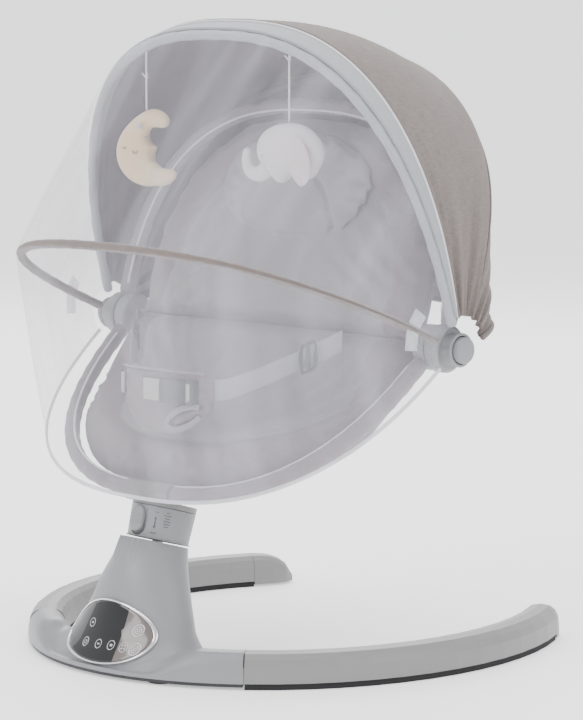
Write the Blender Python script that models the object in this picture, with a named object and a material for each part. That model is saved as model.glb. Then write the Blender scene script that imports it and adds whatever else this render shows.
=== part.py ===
"""Electric baby swing: a C-shaped base with a drive column, and a canopied seat that sways on it.

Metres, +Z up. The control panel faces -Y, the legs' tips point to +Y. The origin is on the floor,
under the middle of the object. Left is -X and right is +X.
"""
import math

import bmesh
import bpy
import numpy as np

# ---------------------------------------------------------------- driving dimensions
GAP = 0.0004                      # clearance between pieces that touch
FLOOR_HALF_WIDTH = 0.28           # half axes and centre of the base's elliptical outline
FLOOR_HALF_LENGTH = 0.315
FLOOR_CENTRE_Y = 0.06
SEAM_ANGLE = math.radians(36.4)   # where a leg joins the housing, from the front
LEG_END_ANGLE = math.radians(120.0)
TIP_ANGLE = math.radians(130.75)
ARM_WIDTH = 0.042
ARM_HEIGHT = 0.037
ARM_LIP = 0.010                   # height of the arm's upright outer edge
LIP_END_ANGLE = math.radians(14.0)
CREST_ANGLE = math.radians(27.0)  # from here on the arm has its full height
COVER_TOP = 0.0060                # top of the base's bottom cover and of the legs' treads
TREAD_BOTTOM = 0.0025
WALL = 0.0028                     # moulded wall thickness

PIVOT = np.array([0.0, -0.1736, 0.0675])   # on the sway axis, inside the column
LEAN = math.radians(16.5)                  # the sway axis and the neck lean back by this much
SLIT_REACH = 0.0623               # along the sway axis to the top of the column
SLIT_WIDTH = 0.0020
NECK_TOP_REACH = 0.0985
NECK_RADIUS = 0.0335

SPINDLE_RADIUS = 0.0060
BEARING_RADIUS = 0.0130
KNOB_REACH = 0.0825               # middle of the mode knob, along the sway axis

HUB_Y = 0.0245                    # the recline and canopy axis, along X
HUB_Z = 0.339
FRAME_TUBE = 0.0070               # radius of the seat's steel tubes
BOW_ROD = 0.0035                  # radius of the canopy's and net's rods
BOW_POWER = 2.56                  # superellipse power of every bow
FRONT_TUBE = (0.2283, 0.245, 219.75)       # half width, reach, angle from +Y in degrees
BACK_TUBE = (0.2453, 0.250, 76.6)
REAR_BOW = (0.2453, 0.299, 66.3)
CANOPY_BOW = (0.2620, 0.336, 106.35)
NET_BOW = (0.25625, 0.279, 157.3)
HUB_REACH = 0.036                 # fabric keeps this far from the hub's axis
TOY_X = 0.108
TOY_Y = -0.0661
TOY_PIVOT_Z = 0.6480
MOON_CENTRE = (-0.0942, 0.5400)   # x and z of the middle of the moon's crescent

HUB = np.array([0.0, HUB_Y, HUB_Z])
NECK_UP = np.array([0.0, math.sin(LEAN), math.cos(LEAN)])
NECK_BACK = np.array([0.0, math.cos(LEAN), -math.sin(LEAN)])
AXIS_X = np.array([1.0, 0.0, 0.0])
AXIS_Y = np.array([0.0, 1.0, 0.0])
AXIS_Z = np.array([0.0, 0.0, 1.0])


# ---------------------------------------------------------------- scene and materials
def clear_scene():
    for item in list(bpy.data.objects):
        bpy.data.objects.remove(item)


def material(name, colour, roughness, metallic=0.0):
    """A Principled material, made once for each name."""
    made = bpy.data.materials.get(name)
    if made is None:
        made = bpy.data.materials.new(name)
        made.use_nodes = True
        shader = made.node_tree.nodes["Principled BSDF"]
        shader.inputs["Base Color"].default_value = (*colour, 1.0)
        shader.inputs["Roughness"].default_value = roughness
        shader.inputs["Metallic"].default_value = metallic
    return made


def shell_plastic():
    return material("shell_plastic", (0.40, 0.40, 0.42), 0.38)


def leg_plastic():
    return material("leg_plastic", (0.36, 0.36, 0.36), 0.42)


def dark_plastic():
    return material("dark_plastic", (0.03, 0.03, 0.035), 0.5)


def buckle_plastic():
    return material("buckle_plastic", (0.10, 0.10, 0.11), 0.45)


def rubber():
    return material("rubber", (0.02, 0.02, 0.02), 0.9)


def steel():
    return material("steel", (0.6, 0.6, 0.62), 0.3, 1.0)


def chrome():
    return material("chrome", (0.8, 0.8, 0.82), 0.1, 1.0)


def dark_glass():
    return material("dark_glass", (0.005, 0.005, 0.006), 0.05)


def circuit_board():
    return material("circuit_board", (0.02, 0.16, 0.06), 0.5)


def copper():
    return material("copper", (0.72, 0.33, 0.18), 0.35, 1.0)


def seat_linen():
    return material("seat_linen", (0.42, 0.38, 0.40), 0.9)


def seat_liner():
    return material("seat_liner", (0.58, 0.57, 0.60), 0.9)


def canopy_melange():
    return material("canopy_melange", (0.30, 0.25, 0.24), 0.9)


def net_mesh():
    return material("net_mesh", (0.80, 0.79, 0.84), 0.8)


def webbing():
    return material("webbing", (0.50, 0.50, 0.53), 0.85)


def plush_yellow():
    return material("plush_yellow", (0.85, 0.66, 0.42), 0.95)


def plush_white():
    return material("plush_white", (0.80, 0.76, 0.78), 0.95)


# ---------------------------------------------------------------- mesh building
def add(name, verts, faces, finish, origin=(0.0, 0.0, 0.0), smooth_angle=35.0):
    """An object from world-space points, with its origin at the given place."""
    mesh = bpy.data.meshes.new(name)
    mesh.from_pydata((np.asarray(verts) - np.asarray(origin)).tolist(), [], faces)
    work = bmesh.new()
    work.from_mesh(mesh)
    bmesh.ops.remove_doubles(work, verts=work.verts, dist=1e-6)
    bmesh.ops.recalc_face_normals(work, faces=work.faces)
    work.to_mesh(mesh)
    work.free()
    mesh.materials.append(finish)
    mesh.shade_smooth()
    mesh.set_sharp_from_angle(angle=math.radians(smooth_angle))
    made = bpy.data.objects.new(name, mesh)
    made.location = origin
    bpy.context.scene.collection.objects.link(made)
    return made


def ring_stack(rings, loop=False):
    """Points and faces of a tube through equal rings, capped, or joined end to end in a loop."""
    rings = np.asarray(rings, float)
    count, size = rings.shape[:2]
    spans = count if loop else count - 1
    faces = []
    for i in range(spans):
        here = i * size
        there = ((i + 1) % count) * size
        for k in range(size):
            after = (k + 1) % size
            faces.append((here + k, here + after, there + after, there + k))
    if not loop:
        faces.append(tuple(range(size)))
        faces.append(tuple(range((count - 1) * size, count * size)))
    return rings.reshape(-1, 3), faces


def grid_solid(outer, inner):
    """Points and faces of the closed solid between two equal grids."""
    rings = [np.concatenate([top, bottom[::-1]]) for top, bottom in zip(outer, inner)]
    count, size = len(outer), 2 * outer.shape[1]
    verts, faces = ring_stack(rings)
    faces = faces[:-2]
    half = size // 2
    for row in (0, count - 1):
        start = row * size
        for k in range(half - 1):
            faces.append((start + k, start + k + 1, start + size - 2 - k, start + size - 1 - k))
    return verts, faces


def circle_ring(centre, side, up, radius, sides):
    turn = np.linspace(0.0, 2.0 * math.pi, sides, endpoint=False)[:, None]
    return centre + radius * (np.cos(turn) * side + np.sin(turn) * up)


def tube_rings(points, radius, sides, normal):
    """Rings along a path that lies in one plane with the given normal."""
    points = np.asarray(points, float)
    heading = np.gradient(points, axis=0)
    heading /= np.linalg.norm(heading, axis=1)[:, None]
    side = np.cross(heading, normal)
    side /= np.linalg.norm(side, axis=1)[:, None]
    return [circle_ring(p, s, normal, radius, sides) for p, s in zip(points, side)]


def across(axis):
    """Two unit vectors square to an axis and to each other."""
    guide = AXIS_Z if abs(axis[2]) < 0.9 else AXIS_Y
    side = np.cross(guide, axis)
    side /= np.linalg.norm(side)
    return side, np.cross(axis, side)


def rod(start, end, radius, sides=16):
    """A solid cylinder's points and faces, from one point to another."""
    start, end = np.asarray(start, float), np.asarray(end, float)
    axis = (end - start) / np.linalg.norm(end - start)
    side, up = across(axis)
    return ring_stack([circle_ring(start, side, up, radius, sides),
                       circle_ring(end, side, up, radius, sides)])


def turned(profile, origin, axis, sides=24):
    """A ring turned about an axis from a closed profile of (along, radius) points."""
    side, up = across(axis)
    rings = []
    for turn in np.linspace(0.0, 2.0 * math.pi, sides, endpoint=False):
        spoke = math.cos(turn) * side + math.sin(turn) * up
        rings.append([origin + along * axis + radius * spoke for along, radius in profile])
    return ring_stack(rings, loop=True)


def block(centre, size, side=AXIS_X, depth=AXIS_Y, up=AXIS_Z):
    """A box's points and faces about a centre, along three unit vectors."""
    centre = np.asarray(centre, float)
    half = np.asarray(size, float) / 2.0
    corners = [(-1, -1), (1, -1), (1, 1), (-1, 1)]
    rings = [[centre + i * half[0] * side + j * half[1] * depth + k * half[2] * up
              for i, j in corners] for k in (-1, 1)]
    return ring_stack(rings)


def combine(target, other, operation):
    """Applies a Boolean to the target and removes the other object."""
    change = target.modifiers.new(operation.lower(), "BOOLEAN")
    change.operation = operation
    change.object = other
    change.solver = "EXACT"
    bpy.context.view_layer.update()
    shape = bpy.data.meshes.new_from_object(target.evaluated_get(bpy.context.evaluated_depsgraph_get()))
    target.modifiers.clear()
    target.data = shape
    bpy.data.objects.remove(other)
    return target


def join(target, parts):
    """Unions several (points, faces) shapes with the target."""
    for verts, faces in parts:
        combine(target, add("joined_shape", verts, faces, target.data.materials[0]), "UNION")
    return target


def cut(target, parts):
    """Cuts several (points, faces) shapes out of the target."""
    for verts, faces in parts:
        cutter = add("cutter", verts, faces, target.data.materials[0])
        cutter.hide_render = True
        cutter.display_type = "WIRE"
        combine(target, cutter, "DIFFERENCE")
    return target


def bevel(target, width, segments=2, angle=35.0):
    """Rounds the sharp edges of an object."""
    change = target.modifiers.new("rounded_edges", "BEVEL")
    change.width = width
    change.segments = segments
    change.limit_method = "ANGLE"
    change.angle_limit = math.radians(angle)
    return target


# ---------------------------------------------------------------- curves of the object
def bow_at(bow, turn):
    """Points of a bow: a superellipse in the plane that leaves the hub's axis at the bow's angle."""
    half_width, reach, angle = bow
    turn = np.asarray(turn, float)
    x = half_width * np.sign(np.cos(turn)) * np.abs(np.cos(turn)) ** (2.0 / BOW_POWER)
    out = reach * np.abs(np.sin(turn)) ** (2.0 / BOW_POWER)
    lean = math.radians(angle)
    return np.stack([x, HUB_Y + out * math.cos(lean), HUB_Z + out * math.sin(lean)], -1)


def bow_start(reach, clear):
    """The turn at which a bow is this far from the hub's axis."""
    return math.asin((clear / reach) ** (BOW_POWER / 2.0))


def bow_path(bow, clear, count):
    start = bow_start(bow[1], clear)
    return bow_at(bow, np.linspace(start, math.pi - start, count))


def bow_normal(angle):
    lean = math.radians(angle)
    return np.array([0.0, -math.sin(lean), math.cos(lean)])


def bow_direction(angle):
    lean = math.radians(angle)
    return np.array([0.0, math.cos(lean), math.sin(lean)])


def outline_point(turn, inset, height):
    """A point of the base's outline, moved inwards, at a height."""
    flat = np.array([FLOOR_HALF_WIDTH * math.sin(turn), -FLOOR_HALF_LENGTH * math.cos(turn)])
    outward = np.array([flat[0] / FLOOR_HALF_WIDTH ** 2, flat[1] / FLOOR_HALF_LENGTH ** 2])
    outward /= np.linalg.norm(outward)
    place = flat - outward * inset
    return np.array([place[0], place[1] + FLOOR_CENTRE_Y, height])


def arm_section(inset, bottom, crest=1.0):
    """The rounded section of the base's arm as (inset, height) points, less a wall."""
    middle = ARM_WIDTH / 2.0
    half = middle - inset
    top = ARM_HEIGHT - inset
    points = [(middle - half, bottom)]
    for turn in np.linspace(math.pi, 0.0, 9):
        across_arm = middle + half * np.sign(math.cos(turn)) * abs(math.cos(turn)) ** 0.8
        rise = ARM_LIP - inset / 2 + (top - ARM_LIP) * crest * abs(math.sin(turn)) ** 0.75
        points.append((across_arm, rise))
    points.append((middle + half, bottom))
    return points


def arm_crest(turn):
    """How much of its full rise the arm has: it sinks to a low lip under the control panel."""
    share = np.clip((abs(turn) - LIP_END_ANGLE) / (CREST_ANGLE - LIP_END_ANGLE), 0.0, 1.0)
    return share * share * (3.0 - 2.0 * share)


def arm_rings(turns, inset=0.0, bottom=COVER_TOP + GAP, shrink=None):
    """Sections of the arm along the outline, each shrunk towards its own middle by a factor."""
    rings = []
    for i, turn in enumerate(turns):
        factor = 1.0 if shrink is None else shrink[i]
        crest = arm_crest(turn)
        ring = []
        for across_arm, height in arm_section(inset, bottom, crest):
            across_arm = ARM_WIDTH / 2 + (across_arm - ARM_WIDTH / 2) * factor
            ring.append(outline_point(turn, across_arm, bottom + (height - bottom) * factor))
        rings.append(ring)
    return rings


TILT_START = 0.078                # above this the column's sections lean with the neck
COLUMN_HEIGHTS = np.array([0.0064, 0.0200, 0.0380, 0.0540, 0.0700, 0.0900, 0.1100, 0.1272])
COLUMN_HALF_WIDTH = np.array([0.1300, 0.1020, 0.0800, 0.0700, 0.0610, 0.0525, 0.0420, NECK_RADIUS])
COLUMN_FRONT = np.array([-0.2500, -0.2440, -0.2340, -0.2270, -0.2217, -0.2160, -0.2040, -0.1890])
COLUMN_BACK = np.array([-0.1420, -0.1420, -0.1420, -0.1390, -0.1357, -0.1330, -0.1280, -0.1230])


def smooth_table(height, values):
    """A cubic through the table's own heights, so that the column has no rings round it."""
    slopes = np.gradient(values, COLUMN_HEIGHTS)
    place = np.clip(np.searchsorted(COLUMN_HEIGHTS, height) - 1, 0, len(COLUMN_HEIGHTS) - 2)
    step = COLUMN_HEIGHTS[place + 1] - COLUMN_HEIGHTS[place]
    t = (height - COLUMN_HEIGHTS[place]) / step
    low = (1 + 2 * t) * (1 - t) ** 2 * values[place] + t * (1 - t) ** 2 * step * slopes[place]
    return low + t * t * (3 - 2 * t) * values[place + 1] - t * t * (1 - t) * step * slopes[place + 1]


def column_size(height):
    """Half width, half depth and middle of the column's oval section at a height."""
    front = smooth_table(height, COLUMN_FRONT)
    back = smooth_table(height, COLUMN_BACK)
    return smooth_table(height, COLUMN_HALF_WIDTH), (back - front) / 2, (back + front) / 2


def column_front(x, height):
    """The y of the column's front face at a place across and a height."""
    half_width, half_depth, middle = column_size(height)
    return middle - half_depth * np.sqrt(np.clip(1.0 - (x / half_width) ** 2, 0.0, 1.0))


def column_rings(inset, extend):
    """Oval sections from the floor to the slit, the upper ones leaning with the neck."""
    rings = []
    turn = np.linspace(0.0, 2.0 * math.pi, 40, endpoint=False)
    heights = np.append(np.arange(0.0064, 0.076, 0.0087), (0.086, 0.096, 0.106, 0.116, COLUMN_HEIGHTS[-1]))
    for height in heights:
        half_width, half_depth, middle = column_size(height)
        tilt = LEAN * max(0.0, (height - TILT_START) / (COLUMN_HEIGHTS[-1] - TILT_START)) ** 1.5
        x = (half_width - inset) * np.cos(turn)
        y = (half_depth - inset) * np.sin(turn)
        rings.append(np.stack([x, middle + y * math.cos(tilt), height - y * math.sin(tilt)], -1))
    if extend:
        rings[-1] = rings[-1] + 0.004 * NECK_UP
        rings[0] = rings[0] - 0.004 * AXIS_Z
    else:
        rings[0] = rings[0] - 0.0015 * AXIS_Z
    return rings


# ---------------------------------------------------------------- base
def make_base_housing():
    turns = np.linspace(-SEAM_ANGLE, SEAM_ANGLE, 18)
    housing = add("base_housing", *ring_stack(column_rings(0.0, False)), shell_plastic())
    join(housing, [ring_stack(arm_rings(turns, bottom=0.004))])
    inner = np.linspace(-SEAM_ANGLE + 0.012, SEAM_ANGLE - 0.012, 16)
    hollow = add("hollow", *ring_stack(column_rings(WALL, True)), shell_plastic())
    join(hollow, [ring_stack(arm_rings(inner, inset=WALL, bottom=0.0015))])
    hollow.hide_render = True
    hollow.display_type = "WIRE"
    combine(housing, hollow, "DIFFERENCE")
    cut(housing, [block((0.0, -0.15, -0.0136), (0.6, 0.5, 0.04))])
    socket_bore = rod((0.0, -0.20, 0.020), (0.0, -0.10, 0.020), 0.0052, 16)
    cut(housing, [socket_bore])
    return housing


def make_base_cover():
    """The flat plate that closes the housing from below."""
    turns = np.linspace(-SEAM_ANGLE + 0.004, SEAM_ANGLE - 0.004, 21)
    rings = []
    for turn in turns:
        outer = outline_point(turn, 0.0015, 0.0)
        inner = outline_point(turn, ARM_WIDTH - 0.0015, 0.0)
        reach = 0.092 * max(0.0, 1.0 - (abs(inner[0]) / 0.105) ** 2) if abs(inner[0]) < 0.105 else 0.0
        back = inner + AXIS_Y * (reach * 0.7)
        rings.append([outer + AXIS_Z * TREAD_BOTTOM, back + AXIS_Z * TREAD_BOTTOM,
                      back + AXIS_Z * COVER_TOP, outer + AXIS_Z * COVER_TOP])
    return add("base_cover", *ring_stack(rings), dark_plastic())


def make_leg(side):
    name = "right_leg" if side > 0 else "left_leg"
    turns = side * np.linspace(SEAM_ANGLE + 0.0014, LEG_END_ANGLE, 14)
    outer = arm_rings(turns)
    inner = arm_rings(turns, inset=WALL, bottom=COVER_TOP + GAP)
    rings = [list(shell) + list(hollow)[::-1] for shell, hollow in zip(outer, inner)]
    return add(name, *ring_stack(rings), leg_plastic())


def make_leg_cap(side):
    name = "right_leg_cap" if side > 0 else "left_leg_cap"
    steps = np.linspace(0.0, 0.985, 7)
    turns = side * (LEG_END_ANGLE + 0.0014 + (TIP_ANGLE - LEG_END_ANGLE) * steps)
    rings = arm_rings(turns, bottom=TREAD_BOTTOM, shrink=np.sqrt(1.0 - steps ** 2.4))
    return add(name, *ring_stack(rings), leg_plastic())


def make_leg_tread(side):
    """The black rubber strip along a leg's underside."""
    name = "right_leg_tread" if side > 0 else "left_leg_tread"
    turns = side * np.linspace(SEAM_ANGLE + 0.003, LEG_END_ANGLE - 0.002, 14)
    rings = [[outline_point(t, 0.0012, 0.0), outline_point(t, ARM_WIDTH - 0.0012, 0.0),
              outline_point(t, ARM_WIDTH - 0.0012, COVER_TOP), outline_point(t, 0.0012, COVER_TOP)]
             for t in turns]
    return add(name, *ring_stack(rings), rubber())


def make_front_foot(side):
    name = "front_foot_right" if side > 0 else "front_foot_left"
    centre = outline_point(side * math.radians(17.0), ARM_WIDTH / 2, 0.0)
    return add(name, *rod(centre, centre + AXIS_Z * (TREAD_BOTTOM - GAP), 0.015, 24), rubber())


PANEL_GAP = 0.0014
PANEL_Z = 0.0440
PANEL_HALF_WIDTH = 0.0585
PANEL_HALF_HEIGHT = 0.0300


def panel_ring(scale, offset):
    """An egg-shaped loop on the column's front face, pushed out by an offset."""
    turn = np.linspace(0.0, 2.0 * math.pi, 32, endpoint=False)
    rise = np.sin(turn)
    x = PANEL_HALF_WIDTH * scale * np.cos(turn) * (1.0 - 0.20 * rise)
    z = PANEL_Z + PANEL_HALF_HEIGHT * scale * rise
    y = column_front(x, z) - offset
    return np.stack([x, y, z], -1)


def make_panel_bezel():
    rings = [panel_ring(1.0, PANEL_GAP), panel_ring(1.07, PANEL_GAP),
             panel_ring(1.06, 0.0032), panel_ring(1.0, 0.0036)]
    return add("panel_bezel", *ring_stack(rings, loop=True), chrome())


def make_panel_lens():
    rings = [panel_ring(scale, PANEL_GAP) for scale in (0.06, 0.25, 0.5, 0.75, 0.985)]
    rings += [panel_ring(scale, 0.0032) for scale in (0.985, 0.75, 0.5, 0.25, 0.06)]
    return add("panel_lens", *ring_stack(rings), dark_glass())


def make_electronics():
    add("control_board", *block((0.0, -0.2130, 0.042), (0.056, 0.0016, 0.032)), circuit_board())
    speaker = [(0.0, 0.004), (0.0, 0.012), (0.008, 0.020), (0.010, 0.020), (0.010, 0.016), (0.004, 0.010),
               (0.002, 0.004)]
    place = np.array([0.065, -0.2050, COVER_TOP + 0.001])
    add("speaker", *turned(speaker, place, AXIS_Z, 20), dark_plastic())
    socket = [(0.0, 0.0028), (0.0, 0.0048), (0.0140, 0.0048), (0.0140, 0.0028)]
    add("power_socket", *turned(socket, np.array([0.0, -0.1560, 0.020]), AXIS_Y, 16), dark_plastic())
    coil = [(0.0, 0.004), (0.0, 0.011), (0.0068, 0.011), (0.0068, 0.004)]
    add("drive_coil", *turned(coil, np.array([0.0, -0.1640, COVER_TOP + GAP]), AXIS_Z, 20), copper())


def along_neck(reach, back=0.0, x=0.0):
    """A point by its reach along the sway axis, its distance behind it and its place across."""
    return PIVOT + NECK_UP * reach + NECK_BACK * back + AXIS_X * x


def neck_block(centre, size):
    return block(centre, size, AXIS_X, NECK_BACK, NECK_UP)


def make_pivot():
    """A bracket on two feet, whose two plates hold the bearings of the sway spindle."""
    bracket = add("pivot_bracket", *neck_block(along_neck(0.030), (0.044, 0.036, 0.006)), steel())
    parts = [neck_block(along_neck(-0.010), (0.044, 0.036, 0.006))]
    for x in (-0.0205, 0.0205):
        parts.append(neck_block(along_neck(0.006, x=x), (0.0032, 0.034, 0.052)))
        foot_top = along_neck(0.0)
        parts.append(block((x, foot_top[1], (foot_top[2] + COVER_TOP + GAP) / 2),
                           (0.0030, 0.018, foot_top[2] - COVER_TOP - GAP)))
    join(bracket, parts)
    cut(bracket, [rod(along_neck(-0.03), along_neck(0.06), BEARING_RADIUS + GAP, 24)])
    for name, reach in (("bearing_lower", -0.010), ("bearing_upper", 0.030)):
        ring = [(-0.0026, SPINDLE_RADIUS + GAP), (-0.0026, BEARING_RADIUS), (0.0026, BEARING_RADIUS),
                (0.0026, SPINDLE_RADIUS + GAP)]
        add(name, *turned(ring, along_neck(reach), NECK_UP, 24), steel())


# ---------------------------------------------------------------- swing
def neck_ring(reach, radius):
    """A flat ring square to the sway axis."""
    return circle_ring(along_neck(reach), AXIS_X, NECK_BACK, radius, 36)


def make_neck_shell():
    low, high = SLIT_REACH + SLIT_WIDTH, NECK_TOP_REACH
    inner = NECK_RADIUS - WALL
    rings = [neck_ring(low, NECK_RADIUS - 0.0005), neck_ring(high, NECK_RADIUS + 0.0010),
             neck_ring(high, inner), neck_ring(low, inner)]
    neck = add("neck_shell", *ring_stack(rings, loop=True), shell_plastic(), PIVOT)
    cut(neck, [neck_block(along_neck(KNOB_REACH, -NECK_RADIUS), (0.0084, 0.012, 0.0260))])
    return neck


def make_mode_knob():
    """The slider on the neck: a rounded grip outside, and a stem through the slot."""
    place = along_neck(KNOB_REACH, -NECK_RADIUS - 0.0040)
    turn = np.linspace(0.0, 2.0 * math.pi, 24, endpoint=False)
    bulge = 0.0060 * np.clip(np.sin(turn) * 3.0, -1.0, 1.0)
    flat = (0.0085 * np.cos(turn))[:, None] * AXIS_X + (0.0080 * np.sin(turn) + bulge)[:, None] * NECK_UP
    rings = [place + flat + NECK_BACK * 0.0024, place + flat - NECK_BACK * 0.0020,
             place + 0.7 * flat - NECK_BACK * 0.0032]
    knob = add("mode_knob", *ring_stack(rings), shell_plastic())
    join(knob, [neck_block(place + NECK_BACK * 0.0045, (0.0064, 0.0090, 0.0110))])
    return knob


def make_spindle():
    """The sway shaft with a flange inside the neck, and the lever and magnet at its foot."""
    shaft = rod(along_neck(-0.017), along_neck(NECK_TOP_REACH - GAP), SPINDLE_RADIUS, 20)
    spindle = add("sway_spindle", *shaft, steel(), PIVOT)
    join(spindle, [rod(along_neck(0.066), along_neck(0.071), NECK_RADIUS - WALL - 0.0006, 36)])
    lever = neck_block(along_neck(-0.0196, 0.010), (0.012, 0.032, 0.0044))
    add("drive_lever", *lever, leg_plastic(), PIVOT)
    magnet = rod(along_neck(-0.0222, 0.019), along_neck(-0.0282, 0.019), 0.0070, 20)
    add("drive_magnet", *magnet, steel(), PIVOT)


def make_seat_bracket():
    """The plate on top of the neck, with a collar round the seat's front tube."""
    deck = along_neck(NECK_TOP_REACH + 0.0034)
    bracket = add("seat_bracket", *rod(deck - NECK_UP * 0.0028, deck + NECK_UP * 0.0032, 0.0345, 36),
                  leg_plastic(), PIVOT)
    apex = bow_at(FRONT_TUBE, math.pi / 2)
    collar = rod(apex - AXIS_X * 0.034, apex + AXIS_X * 0.034, 0.0112, 20)
    rib = block((0.0, apex[1] + 0.012, apex[2] - 0.006), (0.050, 0.022, 0.006))
    join(bracket, [collar, rib])
    middle = apex - AXIS_Z * 0.0003
    cut(bracket, [rod(middle - AXIS_X * 0.05, middle + AXIS_X * 0.05, 0.0084, 20)])
    return bracket


def frame_tube(name, bow, clear, finish, origin=HUB, rod_radius=FRAME_TUBE, sides=8, count=25):
    path = bow_path(bow, clear, count)
    return add(name, *ring_stack(tube_rings(path, rod_radius, sides, bow_normal(bow[2]))), finish, origin)


def make_hub_disc(name, side, near, far, radius, bow):
    """A hub half: a disc on the axis with a sleeve that takes its tube."""
    profile = [(near, 0.0046), (near, radius - 0.001), (near + 0.001, radius), (far - 0.001, radius),
               (far, radius - 0.001), (far, 0.0046)]
    disc = add(name, *turned([(side * a, r) for a, r in profile], HUB, AXIS_X, 24), shell_plastic(), HUB)
    flip = np.array([side, 1.0, 1.0])
    mouth = bow_at(bow, bow_start(bow[1], 0.036)) * flip
    along = mouth - bow_at(bow, bow_start(bow[1], 0.022)) * flip
    along /= np.linalg.norm(along)
    join(disc, [rod(mouth - along * 0.020, mouth, 0.0084, 16)])
    cut(disc, [rod(mouth - along * 0.0098, mouth + along * 0.020, 0.0076, 16)])
    return disc


def make_hubs(side, word):
    make_hub_disc("hub_inner_" + word, side, 0.2200, 0.2365, 0.0240, FRONT_TUBE)
    outer = make_hub_disc("hub_outer_" + word, side, 0.2369, 0.2535, 0.0250, BACK_TUBE)
    boss = ((0.2520, 0.0046), (0.2520, 0.0158), (0.2652, 0.0158), (0.2652, 0.0180),
            (0.2685, 0.0180), (0.2690, 0.0144), (0.2600, 0.0144), (0.2600, 0.0046))
    join(outer, [turned([(side * a, r) for a, r in boss], HUB, AXIS_X, 24)])
    pin_head = HUB + AXIS_X * side * 0.2150
    shank = rod(HUB + AXIS_X * side * 0.2160, HUB + AXIS_X * side * 0.2590, 0.0042, 20)
    pin = add("hub_pin_" + word, *shank, steel(), HUB)
    join(pin, [rod(pin_head, pin_head + AXIS_X * side * 0.0046, 0.0080, 20)])
    cap = rod(HUB + AXIS_X * side * 0.2668, HUB + AXIS_X * side * 0.2750, 0.0140, 32)
    button = add("recline_button_" + word, *cap, shell_plastic(), HUB)
    bevel(button, 0.0012, 1)


def bow_with_rings(name, bow, near, far, finish):
    """A rod bow whose ends are flat rings that turn on the hubs' bosses."""
    made = frame_tube(name, bow, 0.0290, finish, rod_radius=BOW_ROD, sides=6, count=27)
    direction = bow_direction(bow[2])
    for side in (-1.0, 1.0):
        profile = [(side * near, 0.0163), (side * near, 0.0205), (side * far, 0.0205), (side * far, 0.0163)]
        tab = block(HUB + AXIS_X * side * (near + far) / 2 + direction * 0.0265,
                    (far - near - 0.0002, 0.0076, 0.0160), AXIS_X, bow_normal(bow[2]), direction)
        join(made, [turned(profile, HUB, AXIS_X, 24), tab])
    return made


def make_rear_bow():
    """The canopy's fixed rear bow, clipped round the backrest tube."""
    clear = 0.080
    bow = frame_tube("canopy_rear_bow", REAR_BOW, clear, steel(), rod_radius=0.0030, sides=6, count=21)
    seat_turn, end_turn = bow_start(BACK_TUBE[1], clear), bow_start(REAR_BOW[1], clear)
    for mirror in (1.0, -1.0):
        flip = np.array([mirror, 1.0, 1.0])
        seat = bow_at(BACK_TUBE, seat_turn) * flip
        along = (bow_at(BACK_TUBE, seat_turn + 0.02) - bow_at(BACK_TUBE, seat_turn - 0.02)) * flip
        along /= np.linalg.norm(along)
        end = bow_at(REAR_BOW, end_turn) * flip
        join(bow, [rod(seat - along * 0.005, seat + along * 0.005, 0.0098, 16),
                   rod(end + along * 0.0012, seat + (end - seat) * 0.2, 0.0028, 8)])
        cut(bow, [rod(seat - along * 0.014, seat + along * 0.014, 0.0078, 16)])
    return bow


# ---------------------------------------------------------------- soft pieces
def pad_grid(half_width, start, reach, angle, heights, edge, columns, rows):
    """Points over the inside of a bow; heights gives the lift off the bow's plane along its reach."""
    share_x = np.sin(np.linspace(-1.0, 1.0, columns) * math.asin(0.965))
    share_y = np.linspace(0.0, 1.0, rows)
    x, v = np.meshgrid(share_x, share_y, indexing="ij")
    extent = reach * (1.0 - np.abs(x) ** BOW_POWER) ** (1.0 / BOW_POWER)
    out = start + (extent - start) * v
    lift = np.interp(out / reach, np.linspace(0.0, 1.0, len(heights)), heights)
    rim = np.clip(1.0 - np.maximum(np.abs(x), 0.999 * out / (extent + 1e-9)) ** 2, 0.0, 1.0)
    lift = edge + (lift - edge) * rim ** 0.45
    place = HUB + x[..., None] * half_width * AXIS_X + out[..., None] * bow_direction(angle)
    return place + lift[..., None] * pad_normal(angle)


def pad_normal(angle):
    """The side of a bow's plane that faces the child."""
    lean = math.radians(angle)
    return np.array([0.0, -math.sin(lean), math.cos(lean)]) * (1.0 if angle < 180.0 else -1.0)


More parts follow.
